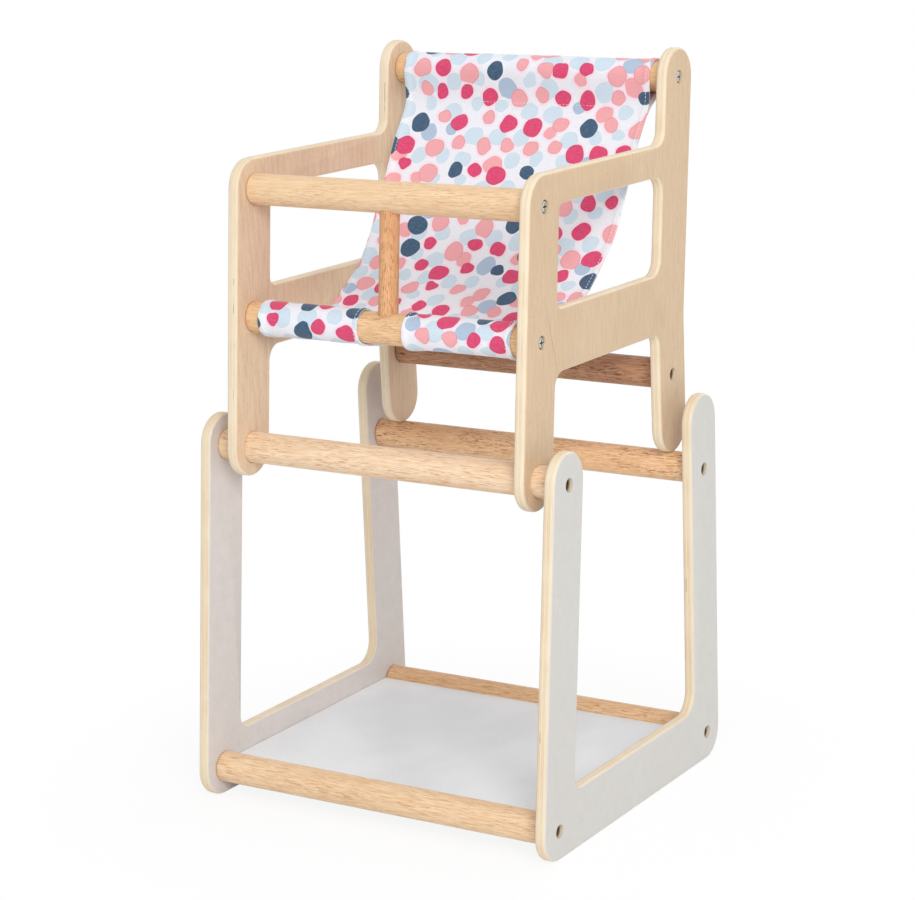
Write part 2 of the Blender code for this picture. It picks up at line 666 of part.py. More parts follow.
def add_crotch_dowel(pieces, parts, cutters, body):
    """The thin dowel between the armrest and seat dowels, let into a socket in each."""
    seat, armrest = Vector((0.0, *SEAT)), Vector((0.0, *ARMREST))
    along = (armrest - seat).normalized()
    middle = (seat + armrest) / 2
    turn = Vector((1.0, 0.0, 0.0)).rotation_difference(along).to_matrix().to_4x4()
    socket_floor = DOWEL_RADIUS - CROTCH_SOCKET_DEPTH
    length = (armrest - seat).length - 2 * (socket_floor + CLEARANCE)
    mesh = rod_mesh("crotch_dowel", CROTCH_DOWEL_DIAMETER, length, CROTCH_DOWEL_SIDES)
    piece = add_piece("crotch_dowel", mesh, "crotch_wood", parts, body)
    piece.matrix_world = Matrix.Translation(middle) @ turn
    drill_length = CROTCH_SOCKET_DEPTH + CUT_OVERRUN
    drill = rod_mesh("socket", CROTCH_DOWEL_DIAMETER + 2 * CLEARANCE, drill_length, CROTCH_DOWEL_SIDES)
    drill_middle = socket_floor + drill_length / 2
    for name, centre, direction in (("seat_front_dowel", seat, along), ("armrest_dowel", armrest, -along)):
        place = Matrix.Translation(centre + direction * drill_middle) @ turn
        cut(pieces[name], add_cutter(f"{name}_socket", drill, cutters, place))


def add_sling(parts, cutters, body):
    """The cloth seat, hung between the backrest dowel and the seat dowel, notched at the crotch dowel."""
    outside, bores = sling_outlines()
    mesh = plate_mesh("seat_sling", (outside, *bores), 2 * SLING_HALF_WIDTH, 0.0)
    piece = add_piece("seat_sling", mesh, "printed_cloth", parts, body)
    seam = sling_route()[-1]
    front = SEAT[0] - DOWEL_DIAMETER
    depth = seam.x - front
    notch = box_mesh("notch", (SLING_NOTCH_WIDTH, depth, 2 * DOWEL_DIAMETER))
    cutter = add_cutter("sling_notch", notch, cutters, at(0.0, (front + depth / 2, SEAT[1])))
    corners = cutter.modifiers.new("rounded_corners", "BEVEL")
    corners.width = SLING_NOTCH_ROUND
    corners.segments = 3
    cut(piece, cutter)


def add_screws(holes, outer_x, parts, mesh, body):
    """A screw in each hole of both sides, its head seated in its counterbore."""
    depths = {"flush": FLUSH_SEAT_DEPTH, "deep": DEEP_SEAT_DEPTH}
    for hole, (place, kind) in holes.items():
        for side, sign in (("left", -1), ("right", 1)):
            name = f"screw_{hole.removesuffix('_dowel')}_{side}"
            piece = add_piece(name, mesh, "screw_steel", parts, body)
            head_underside = outer_x - depths[kind] + CLEARANCE
            piece.matrix_world = at(sign * head_underside, place) @ facing(sign)


def add_body(name, place, collection):
    """An empty that carries the pieces of one rigid body."""
    body = bpy.data.objects.new(name, None)
    body.location = (0.0, *place)
    collection.objects.link(body)
    bpy.context.view_layer.update()
    return body


def build():
    """Builds the whole part."""
    clear_scene()
    parts = new_collection(COLLECTION_NAME)
    cutters = new_collection(CUTTER_COLLECTION_NAME)
    hole_meshes = {
        "flush": turned_mesh("flush_hole", screw_hole_profile(FLUSH_SEAT_DEPTH), HOLE_SIDES, cutters),
        "deep": turned_mesh("deep_hole", screw_hole_profile(DEEP_SEAT_DEPTH), HOLE_SIDES, cutters),
        "pilot": rod_mesh("pilot", SCREW_SHANK_DIAMETER + 2 * CLEARANCE, 2 * PILOT_DEPTH, SCREW_SIDES),
    }
    base_body = add_body("base_frame", (0.0, 0.0), parts)
    chair_body = add_body("chair", PIVOT, parts)
    base_holes = build_base(parts, cutters, hole_meshes, base_body)
    chair_holes = build_chair(parts, cutters, hole_meshes, chair_body)
    mesh = screw_mesh(cutters)
    add_screws(base_holes, BASE_WIDTH / 2, parts, mesh, base_body)
    add_screws(chair_holes, CHAIR_OUTER_X, parts, mesh, chair_body)


build()
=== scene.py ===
"""The looks of the doll high chair: wood, laminate and steel finishes, and the sewn, printed cloth seat.

Lengths are in metres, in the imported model's frame: X runs across the chair, -Y is its front and Z is up.
"""

import bisect
import math
from typing import NamedTuple

import bmesh
import bpy
from mathutils import Matrix, Vector, noise


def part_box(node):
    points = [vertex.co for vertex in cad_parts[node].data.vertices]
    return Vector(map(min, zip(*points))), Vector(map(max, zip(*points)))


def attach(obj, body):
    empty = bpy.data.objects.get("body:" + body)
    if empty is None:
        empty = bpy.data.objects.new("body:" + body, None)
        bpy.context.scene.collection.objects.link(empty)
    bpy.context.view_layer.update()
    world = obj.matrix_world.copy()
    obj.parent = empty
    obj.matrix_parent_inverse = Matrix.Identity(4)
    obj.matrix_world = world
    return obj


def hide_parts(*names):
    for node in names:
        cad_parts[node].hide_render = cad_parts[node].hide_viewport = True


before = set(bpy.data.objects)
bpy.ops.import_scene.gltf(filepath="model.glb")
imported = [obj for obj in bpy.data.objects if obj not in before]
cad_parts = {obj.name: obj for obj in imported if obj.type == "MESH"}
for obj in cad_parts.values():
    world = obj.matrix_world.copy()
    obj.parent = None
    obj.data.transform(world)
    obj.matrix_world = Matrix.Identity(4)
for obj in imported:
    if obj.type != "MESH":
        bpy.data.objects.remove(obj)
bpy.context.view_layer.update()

MM = 0.001
ACROSS = 0
UP = 2
WHITE = (1.0, 1.0, 1.0, 1.0)
BLACK = (0.0, 0.0, 0.0, 1.0)


class Pattern(NamedTuple):
    """Noise in a finish: how fine it is per metre on each axis, and over which of its values it fades in."""

    scale: tuple
    shows: tuple = (0.3, 0.7)
    strength: float = 1.0
    shift: float = 0.0
    detail: float = 3.0
    roughness: float = 0.55


class PlyLook(NamedTuple):
    """The colours of one kind of plywood, the pattern of its face, and how rough it is, from and to; its
    inner colour is painted light on the faces that look inwards.
    """

    face: tuple
    face_dark: tuple
    inner: tuple
    plies: tuple
    glue: tuple
    grain: Pattern
    roughness: tuple


class DowelLook(NamedTuple):
    """A dowel's colours, how strongly it is flecked, and how short its flecks are, per metre."""

    light: tuple
    dark: tuple
    fleck: tuple
    flecked: float
    shortness: float


class DotLayer(NamedTuple):
    """One layer of the print: its place in cells, and its hues and halos, each from a share of its dots up.

    The edge of a dot is its hue times the edge tint.
    """

    place: float
    hues: tuple
    halos: tuple
    edge_tint: tuple


def srgb(red, green, blue):
    """The linear colour of an 8-bit screen colour."""
    def linear(value):
        share = value / 255
        return share / 12.92 if share <= 0.04045 else ((share + 0.055) / 1.055) ** 2.4

    return linear(red), linear(green), linear(blue), 1.0


def face_grain(*scale):
    """The streaks of a veneer or laminate face."""
    return Pattern(scale, (0.36, 0.78), 0.8, shift=1.0, detail=6.0, roughness=0.75)


# Camera, found from the photograph's edges
CAMERA_PLACE = (1.03666, -1.72245, 0.73712)
CAMERA_AZIMUTH = math.radians(31.0634)
CAMERA_ELEVATION = math.radians(13.1552)
CAMERA_ROLL = math.radians(-1.1318)
CAMERA_LENS = 104.194
CAMERA_SENSOR = 36.0

# Light: an even white room with soft round lamps, each as (place, watts)
ROOM_STRENGTH = 0.55
LAMP_AIM = (0.0, 0.0, 0.3)
LAMP_SIZE = 1.8
LAMPS = {
    "key_lamp": ((2.1, -2.4, 1.9), 67.0),
    "top_lamp": ((0.3, -0.2, 3.2), 14.0),
    "rear_lamp": ((0.6, 2.8, 1.8), 16.0),
}

# Floor: how white the camera sees it by the object, and the reach over which that fades to full white
FLOOR_SIZE = 12.0
FLOOR_WHITE_NEAR = 0.88
FLOOR_SHADOW_REACH = (0.22, 0.4)
FLOOR_COLORS = (srgb(250, 250, 250), srgb(248, 248, 248))
FLOOR_CLOUDS = Pattern((3.0, 3.0, 3.0), detail=2.0)
FLOOR_ROUGHNESS = 0.9

# CAD pieces are shaded smooth across edges that turn less than this
SMOOTH_ANGLE = math.radians(50)
WELD_DISTANCE = 0.01 * MM

# The values of its noise over which a finish goes from its smoothest to its roughest
GLOSS_SHOWS = (0.3, 0.7)

# Wood, where a relief is (depth, strength), as it is in every finish
WOOD_SHEEN = 0.3
PLY_RELIEF = (0.06 * MM, 0.5)
DOWEL_RELIEF = (0.08 * MM, 0.5)

# Plywood: where its plies end, as shares of its thickness; a look's plies are (outer, long grain, end grain)
PLY_THICKNESS = 9.0 * MM
PLY_ENDS = (0.13, 0.32, 0.5, 0.68, 0.87, 1.0)
GLUE_LINE_SHARE = 0.022
PLY_WANDER = 0.5 * MM
PLY_WANDER_NOISE = Pattern((60.0, 45.0, 45.0), detail=2.0)
CHAIR_PLY = PlyLook(
    face=srgb(216, 191, 160),
    face_dark=srgb(197, 167, 134),
    inner=srgb(226, 200, 172),
    plies=(srgb(230, 213, 187), srgb(236, 221, 195), srgb(230, 212, 183)),
    glue=srgb(214, 190, 155),
    grain=face_grain(300.0, 430.0, 42.0),
    roughness=(0.44, 0.56),
)
BASE_PLY = PlyLook(
    face=srgb(208, 206, 201),
    face_dark=srgb(203, 200, 195),
    inner=srgb(218, 209, 205),
    plies=(srgb(224, 215, 200), srgb(234, 219, 192), srgb(229, 208, 176)),
    glue=srgb(212, 185, 150),
    grain=face_grain(90.0, 90.0, 90.0),
    roughness=(0.34, 0.46),
)

# Patterns on the edges of the plywood and on its faces
EDGE_STREAKS = Pattern((700.0, 70.0, 50.0), (0.4, 0.8), 0.4, shift=3.0)
EDGE_FADING = Pattern((30.0, 35.0, 35.0), (0.4, 0.65), 0.6, shift=13.0, detail=2.0)
FACE_CLOUDS = Pattern((40.0, 14.0, 7.0), (0.35, 0.75), 0.35, shift=7.0)
FACE_SPECKLE = Pattern((900.0, 900.0, 320.0), (0.5, 0.75), 0.5, shift=11.0, detail=2.0)
VENEER_SHOWS_FROM = 0.08 * MM
VENEER_SHOWS_TO = 0.7 * MM

# Rare slits in an inner ply, seen on the edges: their middle and half width as shares of the thickness
VOIDS = Pattern((30.0, 32.0, 32.0), (0.66, 0.69), 0.8, shift=21.0, detail=2.0)
VOID_SHARE = 0.32
VOID_HALF_WIDTH_SHARE = 0.035
VOID_COLOR = srgb(132, 94, 60)

CHAIR_SCREWS = ("backrest", "armrest", "seat_front", "rear_crossbar")
BASE_SCREWS = ("pivot", "rear_rest", "bottom_front", "bottom_rear")

# Painted shade in the deep screw holes, which darkens their walls inwards with depth
CHAIR_DEEP_SCREWS = ("rear_crossbar",)
HOLE_REACH = 5.7 * MM
HOLE_FADE = 0.2 * MM
HOLE_SHADE = srgb(88, 66, 48)
HOLE_SHADE_DEPTHS = (1.2 * MM, 4.2 * MM)

# A fine dark line in the right chair side's outer veneer: a (y, z) place on it, its slope and its ends in Z
VEIN_PLACE = (-83.0 * MM, 380.0 * MM)
VEIN_SLOPE = -0.36
VEIN_ENDS = (338.0 * MM, 410.0 * MM)
VEIN_FADE = 20.0 * MM
VEIN_WANDER = 10.0 * MM
VEIN_WANDER_NOISE = Pattern((26.0, 26.0, 26.0), detail=2.0)
VEIN_HALF_WIDTH = 0.55 * MM
VEIN_STRENGTH = 0.4
VEIN_COLOR = srgb(150, 112, 84)

# How each dowel looks; the tints are partly the wood's own and partly painted light, each set to how lit the
# dowel stands
DOWEL_LOOKS = {
    "armrest_dowel": DowelLook(srgb(241, 213, 176), srgb(223, 184, 142), srgb(180, 126, 86), 0.45, 110.0),
    "seat_front_dowel": DowelLook(srgb(239, 204, 160), srgb(218, 174, 128), srgb(164, 112, 72), 0.6, 150.0),
    "backrest_dowel": DowelLook(srgb(238, 204, 158), srgb(218, 176, 128), srgb(168, 116, 74), 0.6, 150.0),
    "pivot_dowel": DowelLook(srgb(248, 224, 194), srgb(226, 189, 151), srgb(178, 122, 82), 0.55, 100.0),
    "bottom_front_dowel": DowelLook(srgb(244, 218, 182), srgb(221, 180, 138), srgb(176, 120, 80), 0.5, 85.0),
    "bottom_rear_dowel": DowelLook(srgb(236, 201, 161), srgb(210, 163, 118), srgb(156, 104, 66), 0.6, 100.0),
    "rear_rest_dowel": DowelLook(srgb(250, 214, 170), srgb(221, 170, 125), srgb(146, 90, 58), 0.85, 140.0),
    # Painted shade: this dowel's dark tint stands in for the seat's shadow over it
    "rear_crossbar_dowel": DowelLook(srgb(204, 158, 124), srgb(156, 110, 80), srgb(88, 52, 34), 0.85, 130.0),
    "crotch_dowel": DowelLook(srgb(229, 178, 132), srgb(205, 149, 104), srgb(136, 86, 54), 0.55, 170.0),
}
DOWEL_ROUGHNESS = (0.42, 0.56)

# Patterns on a dowel, each scale as (across, along) it; the flecks' second is times the dowel's shortness
DOWEL_STREAKS = Pattern((1000.0, 70.0), (0.34, 0.7), detail=5.0, roughness=0.75)
DOWEL_CLOUDS = Pattern((70.0, 7.0), (0.4, 0.72), 0.5, shift=2.0)
DOWEL_FLECKS = Pattern((1600.0, 1.0), (0.54, 0.62), shift=5.0, detail=2.0)
DOWEL_FLECKED_PARTS = Pattern((90.0, 22.0), (0.28, 0.56), shift=9.0, detail=2.0)

# Each dowel's place in the noise comes from its name
DOWEL_PLACES = 97
DOWEL_PLACES_PER_UNIT = 7

# Painted shade: a dowel darkens a little over its last stretch before a side, where the two meet
DOWEL_END_REACH = (1.6 * MM, 0.2 * MM)
DOWEL_END_SHADE = 0.55

# Laminate of the board
BOARD_COLORS = (srgb(234, 237, 239), srgb(222, 225, 229))
BOARD_CLOUDS = Pattern((11.0, 8.0, 30.0), shift=2.0, detail=2.0)
BOARD_SPECKLE = Pattern((700.0, 700.0, 700.0), detail=2.0)
BOARD_CLOUD_SHARE = 0.7
BOARD_DARK_SHOWS = (0.38, 0.62)
BOARD_RELIEF = (0.03 * MM, 0.4)
BOARD_ROUGHNESS = (0.36, 0.46)

# Steel of the screws, with painted shade down in the cross recess
STEEL = srgb(222, 221, 216)
STEEL_MARKED = srgb(190, 187, 180)
STEEL_RECESS_SHADE = srgb(72, 66, 58)
STEEL_MARKS = Pattern((2500.0, 2500.0, 2500.0), detail=2.0)
STEEL_RELIEF = (0.02 * MM, 0.4)
STEEL_ROUGHNESS = (0.18, 0.34)
RECESS_SHADE_DEPTHS = (0.25 * MM, 1.1 * MM)

# Cloth, as cut and sewn
CLOTH_THICKNESS = 0.9 * MM
CLOTH_HALF_WIDTH = 109.2 * MM
HEM_THICKNESS = 1.7 * MM
HEM_WIDTH = 5.5 * MM
HEM_STEP = 0.8 * MM
HEM_ALLOWANCE = 6.0 * MM
NOTCH_HALF_WIDTH = 19.5 * MM
NOTCH_HEM_WIDTH = 4.0 * MM
FOLDED_EDGE_ROUND = 0.35 * MM
FOLDED_EDGE_ANGLE = math.radians(60)

# Cloth, as hung: how much wider than cut it is at the backrest dowel and, (left, right), at the seat dowel
TOP_POCKET_EXTRA = 1.7 * MM
SEAT_POCKET_EXTRA = (-1.1 * MM, 1.7 * MM)
POCKET_TAPER = 16.0 * MM
WAIST_DEPTH = 4.0 * MM
WAIST_REACH = (95.0 * MM, 155.0 * MM)
DOWEL_CLEARANCE = 0.3 * MM
PLY_GAP = 0.1 * MM

# Spacing of the cloth's columns and rows and of the points of its path, and how near counts as on a line
CLOTH_COLUMN = 4.6 * MM
CLOTH_ROW = 3.4 * MM
PATH_STEP = 1.0 * MM
NEAR = 1.0 * MM

# Places along the hanging cloth, as shares of the way back and up from the seat dowel to the backrest dowel
ROUTE_SHARES = (
    (0.941, 0.862),
    (0.857, 0.693),
    (0.815, 0.597),
    (0.741, 0.429),
    (0.658, 0.267),
    (0.56, 0.134),
    (0.442, 0.031),
    (0.322, -0.057),
    (0.214, -0.104),
    (0.141, -0.098),
)

# Soft relief of the cloth, with noise as (how fine across its width, how fine per metre along it, seed)
SAG_DEPTH = 1.6 * MM
FOLD_DEPTH = 1.3 * MM
FOLD_NOISE = (5.0, 14.0, 4.0)
RIPPLE_DEPTH = 1.4 * MM
RIPPLE_NOISE = (2.0, 30.0, 9.0)
RIPPLE_EDGE_POWER = 6
CREASE_HEIGHT = 0.9 * MM
CREASE_NOISE = (11.0, 18.0, 2.0)
SEAM_FADE = 45.0 * MM

# Puckers along the seams, as a wave across the width that wanders; the top seam draws in less
PUCKER_DEPTH = 0.3 * MM
PUCKER_WAVE = 150.0
PUCKER_WANDER = 2.0
PUCKER_NOISE = (20.0, 0.0, 0.0)
PUCKER_SINK = 1.2
SEAM_REACH = 4.0 * MM
TOP_SEAM_DRAW = 0.5

# Weave of the cloth
CLOTH_GROUND = srgb(236, 238, 245)
CLOTH_SHADE = srgb(150, 150, 165)
CLOTH_GRAIN = Pattern((560.0, 560.0, 1.0), (0.35, 0.75), 0.1)
CLOTH_SLUBS = Pattern((150.0, 2200.0, 1.0), detail=2.0)
CLOTH_RELIEF = (0.06 * MM, 0.6)
CLOTH_ROUGHNESS = (0.82, 0.94)
CLOTH_SHEEN = 0.15
WEAVE_PITCH = 0.55 * MM
WEAVE_RELIEF_SHARE = 0.5
WEAVE_SHADE = 0.05

# The print: two layers of dots, where a halo of white is a full one and a halo of black is none
DOT_MAGENTA = srgb(218, 48, 104)
DOT_CORAL = srgb(240, 165, 169)
DOT_NAVY = srgb(32, 76, 108)
DOT_PALE_BLUE = srgb(205, 223, 236)
DOT_GREY_BLUE = srgb(171, 192, 216)
DOT_HALO = srgb(248, 220, 232)
PALE_LAYER = DotLayer(
    place=7.0,
    hues=((0.0, DOT_PALE_BLUE), (0.65, DOT_GREY_BLUE), (0.76, DOT_CORAL), (1.0, DOT_CORAL)),
    halos=((0.0, BLACK), (0.76, WHITE), (1.0, WHITE)),
    edge_tint=(0.97, 0.97, 0.97),
)
STRONG_LAYER = DotLayer(
    place=17.5,
    hues=((0.0, DOT_MAGENTA), (0.38, DOT_CORAL), (0.74, DOT_NAVY), (0.93, DOT_CORAL)),
    halos=((0.0, WHITE), (0.74, BLACK), (0.93, WHITE)),
    edge_tint=(0.82, 0.72, 0.8),
)
REVERSE_PRINT_STRENGTH = 0.62
DOT_CELL = 21.8 * MM
DOT_JITTER = 0.42
DOT_RADII = (5.5 * MM, 8.6 * MM)
DOT_OVAL = 1.05
DOT_WOBBLE = 3.8 * MM
DOT_WOBBLE_NOISE = Pattern((0.8, 0.8, 0.8), detail=0.0)
DOT_WOBBLE_SPREAD = 40.0
DOT_EDGE_SOFTNESS = 0.25 * MM
DOT_DARK_EDGE = 0.9 * MM
DOT_HALO_REACH = 3.2 * MM
DOT_BRUSH_MARKS = Pattern((300.0, 500.0, 1.0), (0.3, 0.8), 0.04)

# Stitches: how long and how far apart they are, and the thickness of a stitch at shares of its length
STITCH_LENGTH = 2.1 * MM
STITCH_PITCH = 3.0 * MM
STITCH_RADIUS = 0.2 * MM
STITCH_SIDES = 6
STITCH_RING_SHARES = ((0.0, 0.35), (0.2, 0.95), (0.5, 1.0), (0.8, 0.95), (1.0, 0.35))
STITCH_BOW_SHARE = 0.9
STITCH_SINK_SHARE = 0.3
HEM_STITCH_INSET = 3.2 * MM
NOTCH_STITCH_INSET = 2.4 * MM
ROW_END = 2.0 * MM
THREAD_COLORS = (srgb(246, 246, 246), srgb(226, 226, 232))
THREAD_TWIST = Pattern((3000.0, 3000.0, 3000.0), detail=1.0)
THREAD_RELIEF = (0.05 * MM, 0.6)
THREAD_ROUGHNESS = (0.6, 0.8)


class Graph:
    """Short calls that add and join a material's nodes."""

    def __init__(self, name):
        self.material = bpy.data.materials.new(name)
        self.material.use_nodes = True
        self.tree = self.material.node_tree
        self.shader = self.tree.nodes["Principled BSDF"]

    def feed(self, socket, value):
        """Joins an output to a socket, or sets the socket to a plain value."""
        if isinstance(value, bpy.types.NodeSocket):
            self.tree.links.new(value, socket)
        else:
            socket.default_value = value

    def node(self, kind, inputs=None, **settings):
        """A new node with these settings and inputs."""
        made = self.tree.nodes.new(kind)
        for name, value in settings.items():
            setattr(made, name, value)
        for name, value in (inputs or {}).items():
            self.feed(made.inputs[name], value)
        return made

    def math(self, operation, first, second=0.0):
        """The result of a sum on one or two values."""
        return self.node("ShaderNodeMath", {0: first, 1: second}, operation=operation).outputs[0]

    def ramp(self, value, low, high, at_low=0.0, at_high=1.0):
        """The value taken smoothly from one range to another."""
        inputs = {"Value": value, "From Min": low, "From Max": high, "To Min": at_low, "To Max": at_high}
        return self.node("ShaderNodeMapRange", inputs, interpolation_type="SMOOTHSTEP").outputs[0]

    def mix(self, share, first, second):
        """A blend of two colours."""
        made = self.node("ShaderNodeMix", data_type="RGBA")
        self.feed(made.inputs[0], share)
        self.feed(made.inputs[6], first)
        self.feed(made.inputs[7], second)
        return made.outputs[2]

    def vector(self, operation, first, second=(0.0, 0.0, 0.0)):
        """The result of a sum on one or two vectors."""
        return self.node("ShaderNodeVectorMath", {0: first, 1: second}, operation=operation).outputs[0]

    def length(self, vector):
        """How long a vector is."""
        return self.node("ShaderNodeVectorMath", {0: vector}, operation="LENGTH").outputs["Value"]

    def place(self):
        """The point on the piece, in the model's frame at rest."""
        return self.node("ShaderNodeTexCoord").outputs["Object"]

    def axes(self, point):
        """A point's X, Y and Z."""
        return self.node("ShaderNodeSeparateXYZ", {0: point}).outputs

    def noise(self, point, pattern):
        """The noise of a pattern at a point."""
        inputs = {"Vector": point, "Scale": pattern.scale, "Location": (pattern.shift,) * 3}
        mapped = self.node("ShaderNodeMapping", inputs).outputs[0]
        inputs = {"Vector": mapped, "Scale": 1.0, "Detail": pattern.detail, "Roughness": pattern.roughness}
        return self.node("ShaderNodeTexNoise", inputs).outputs[0]

    def shown(self, value, pattern):
        """How strongly a pattern shows where its noise has this value."""
        return self.ramp(value, *pattern.shows, 0.0, pattern.strength)

    def share(self, point, pattern):
        """How strongly a pattern shows at a point."""
        return self.shown(self.noise(point, pattern), pattern)

    def overlay(self, color, tint, point, pattern):
        """A colour with a pattern of another colour on it."""
        return self.mix(self.share(point, pattern), color, tint)

    def wander(self, value, width):
        """The value of a noise as a distance to either side, this wide in all."""
        return self.math("MULTIPLY", self.math("SUBTRACT", value, 0.5), width)

    def bands(self, value, stops, joining="LINEAR"):
        """Colours along a value: stops are (place, colour), joined smoothly or held up to the next one."""
        made = self.node("ShaderNodeValToRGB", {"Fac": value})
        made.color_ramp.interpolation = joining
        elements = made.color_ramp.elements
        elements[0].position, elements[0].color = stops[0]
        elements[1].position, elements[1].color = stops[-1]
        for position, color in stops[1:-1]:
            elements.new(position).color = color
        return made.outputs[0]

    def bump(self, height, depth, strength):
        """Relief of this depth on the shader."""
        inputs = {"Height": height, "Distance": depth, "Strength": strength}
        made = self.node("ShaderNodeBump", inputs)
        self.feed(self.shader.inputs["Normal"], made.outputs[0])

    def finish(self, color, roughness, metallic=0.0):
        """Sets the shader's colour and gloss."""
        self.feed(self.shader.inputs["Base Color"], color)
        self.feed(self.shader.inputs["Roughness"], roughness)
        self.shader.inputs["Metallic"].default_value = metallic
        return self.material


def ply_stops(plies, glue):
    """Colours through the thickness of a plywood edge, with a thin glue line between plies."""
    outer, long_grain, end_grain = plies
    stops = [(0.0, outer)]
    start = 0.0
    for index, end in enumerate(PLY_ENDS):
        last = index == len(PLY_ENDS) - 1
        color = outer if index == 0 or last else (end_grain if index % 2 else long_grain)
        stops.append((start + GLUE_LINE_SHARE, color))
        if not last:
            stops.append((end - GLUE_LINE_SHARE, color))
            stops.append((end, glue))
        start = end
    stops.append((1.0, outer))
    return stops


def in_holes(graph, axes, holes):
    """1 within the screw holes round these places in (y, z), and 0 elsewhere."""
    nearest = None
    for y, z in holes:
        offsets = {"X": graph.math("SUBTRACT", axes["Y"], y), "Y": graph.math("SUBTRACT", axes["Z"], z)}
        away = graph.length(graph.node("ShaderNodeCombineXYZ", offsets).outputs[0])
        nearest = away if nearest is None else graph.math("MINIMUM", nearest, away)
    return graph.ramp(nearest, HOLE_REACH - HOLE_FADE, HOLE_REACH, 1.0, 0.0)


def on_vein(graph, axes):
    """How strongly the fine dark line of the veneer shows: on the right chair side's outer half alone."""
    y, z = VEIN_PLACE
    wander = graph.wander(graph.noise(axes["Z"], VEIN_WANDER_NOISE), VEIN_WANDER)
    middle = graph.math("MULTIPLY", graph.math("SUBTRACT", axes["Z"], z), VEIN_SLOPE)
    middle = graph.math("ADD", graph.math("ADD", middle, y), wander)
    away = graph.math("ABSOLUTE", graph.math("SUBTRACT", axes["Y"], middle))
    line = graph.ramp(away, VEIN_HALF_WIDTH / 2, VEIN_HALF_WIDTH, VEIN_STRENGTH, 0.0)
    low, high = VEIN_ENDS
    rising = graph.ramp(axes["Z"], low, low + VEIN_FADE)
    falling = graph.ramp(axes["Z"], high - VEIN_FADE, high, 1.0, 0.0)
    right = graph.math("GREATER_THAN", axes["X"], 0.0)
    line = graph.math("MULTIPLY", line, right)
    return graph.math("MULTIPLY", line, graph.math("MULTIPLY", rising, falling))


def ply_edge_color(graph, point, from_middle, look):
    """The plies and glue lines of a plywood edge, streaked and faded, with rare slits."""
    wander = graph.wander(graph.noise(point, PLY_WANDER_NOISE), PLY_WANDER)
    through = graph.math("DIVIDE", graph.math("ADD", from_middle, wander), PLY_THICKNESS)
    through = graph.math("ADD", through, 0.5)
    color = graph.bands(through, ply_stops(look.plies, look.glue))
    color = graph.overlay(color, look.glue, point, EDGE_STREAKS)
    color = graph.overlay(color, look.plies[1], point, EDGE_FADING)
    from_void = graph.math("ABSOLUTE", graph.math("SUBTRACT", through, VOID_SHARE))
    slit = graph.ramp(from_void, VOID_HALF_WIDTH_SHARE / 2, VOID_HALF_WIDTH_SHARE, 1.0, 0.0)
    slit = graph.math("MULTIPLY", graph.share(point, VOIDS), slit)
    return graph.mix(slit, color, VOID_COLOR)


def ply_material(name, look, middle_x, holes, veined):
    """Plywood whose face layer and edge plies follow from how deep a point is in its thickness, with painted
    shade deep in its screw holes.
    """
    graph = Graph(name)
    point = graph.place()
    axes = graph.axes(point)
    from_middle = graph.math("SUBTRACT", graph.math("ABSOLUTE", axes["X"]), middle_x)
    depth = graph.math("SUBTRACT", PLY_THICKNESS / 2, graph.math("ABSOLUTE", from_middle))
    edge = ply_edge_color(graph, point, from_middle, look)
    # Painted shade: the walls of the deep screw holes darken with depth
    painted_hole_shade = graph.math("MULTIPLY", in_holes(graph, axes, holes), graph.ramp(depth, *HOLE_SHADE_DEPTHS))
    edge = graph.mix(painted_hole_shade, edge, HOLE_SHADE)

    # Painted light: the inner faces take the lighter, pinker inner colour, standing in for light bounced
    # onto them
    is_inner = graph.ramp(from_middle, -VENEER_SHOWS_TO, VENEER_SHOWS_TO, 1.0, 0.0)
    face = graph.mix(is_inner, look.face, look.inner)
    grain = graph.noise(point, look.grain)
    face = graph.mix(graph.shown(grain, look.grain), face, look.face_dark)
    face = graph.overlay(face, look.face_dark, point, FACE_CLOUDS)
    face = graph.overlay(face, look.face_dark, point, FACE_SPECKLE)
    if veined:
        face = graph.mix(on_vein(graph, axes), face, VEIN_COLOR)

    color = graph.mix(graph.ramp(depth, VENEER_SHOWS_FROM, VENEER_SHOWS_TO), face, edge)
    graph.bump(grain, *PLY_RELIEF)
    graph.shader.inputs["Specular IOR Level"].default_value = WOOD_SHEEN
    return graph.finish(color, graph.ramp(grain, *GLOSS_SHOWS, *look.roughness))


def dowel_material(name, look, along, end_x):
    """Beech with fine streaks and short dark flecks along the dowel, at its own place in the noise."""
    graph = Graph(name)
    point = graph.place()
    seed = sum(map(ord, name)) % DOWEL_PLACES / DOWEL_PLACES_PER_UNIT

    def laid(pattern, shortness=1.0):
        """The pattern turned along this dowel."""
        across, lengthways = pattern.scale
        scale = [across] * 3
        scale[along] = lengthways * shortness
        return pattern._replace(scale=tuple(scale), shift=seed + pattern.shift)

    streaks = graph.noise(point, laid(DOWEL_STREAKS))
    color = graph.mix(graph.shown(streaks, DOWEL_STREAKS), look.light, look.dark)
    color = graph.overlay(color, look.dark, point, laid(DOWEL_CLOUDS))
    flecks = graph.share(point, laid(DOWEL_FLECKS, look.shortness))
    flecks = graph.math("MULTIPLY", flecks, graph.share(point, laid(DOWEL_FLECKED_PARTS)))
    color = graph.mix(graph.math("MULTIPLY", flecks, look.flecked), color, look.fleck)
    # Painted shade at the dowel's ends, where they meet the sides
    if along == ACROSS:
        x = graph.math("ABSOLUTE", graph.axes(point)["X"])
        start, stop = (end_x - reach for reach in DOWEL_END_REACH)
        color = graph.mix(graph.ramp(x, start, stop, 0.0, DOWEL_END_SHADE), color, look.fleck)
    graph.bump(streaks, *DOWEL_RELIEF)
    graph.shader.inputs["Specular IOR Level"].default_value = WOOD_SHEEN
    return graph.finish(color, graph.ramp(streaks, *GLOSS_SHOWS, *DOWEL_ROUGHNESS))


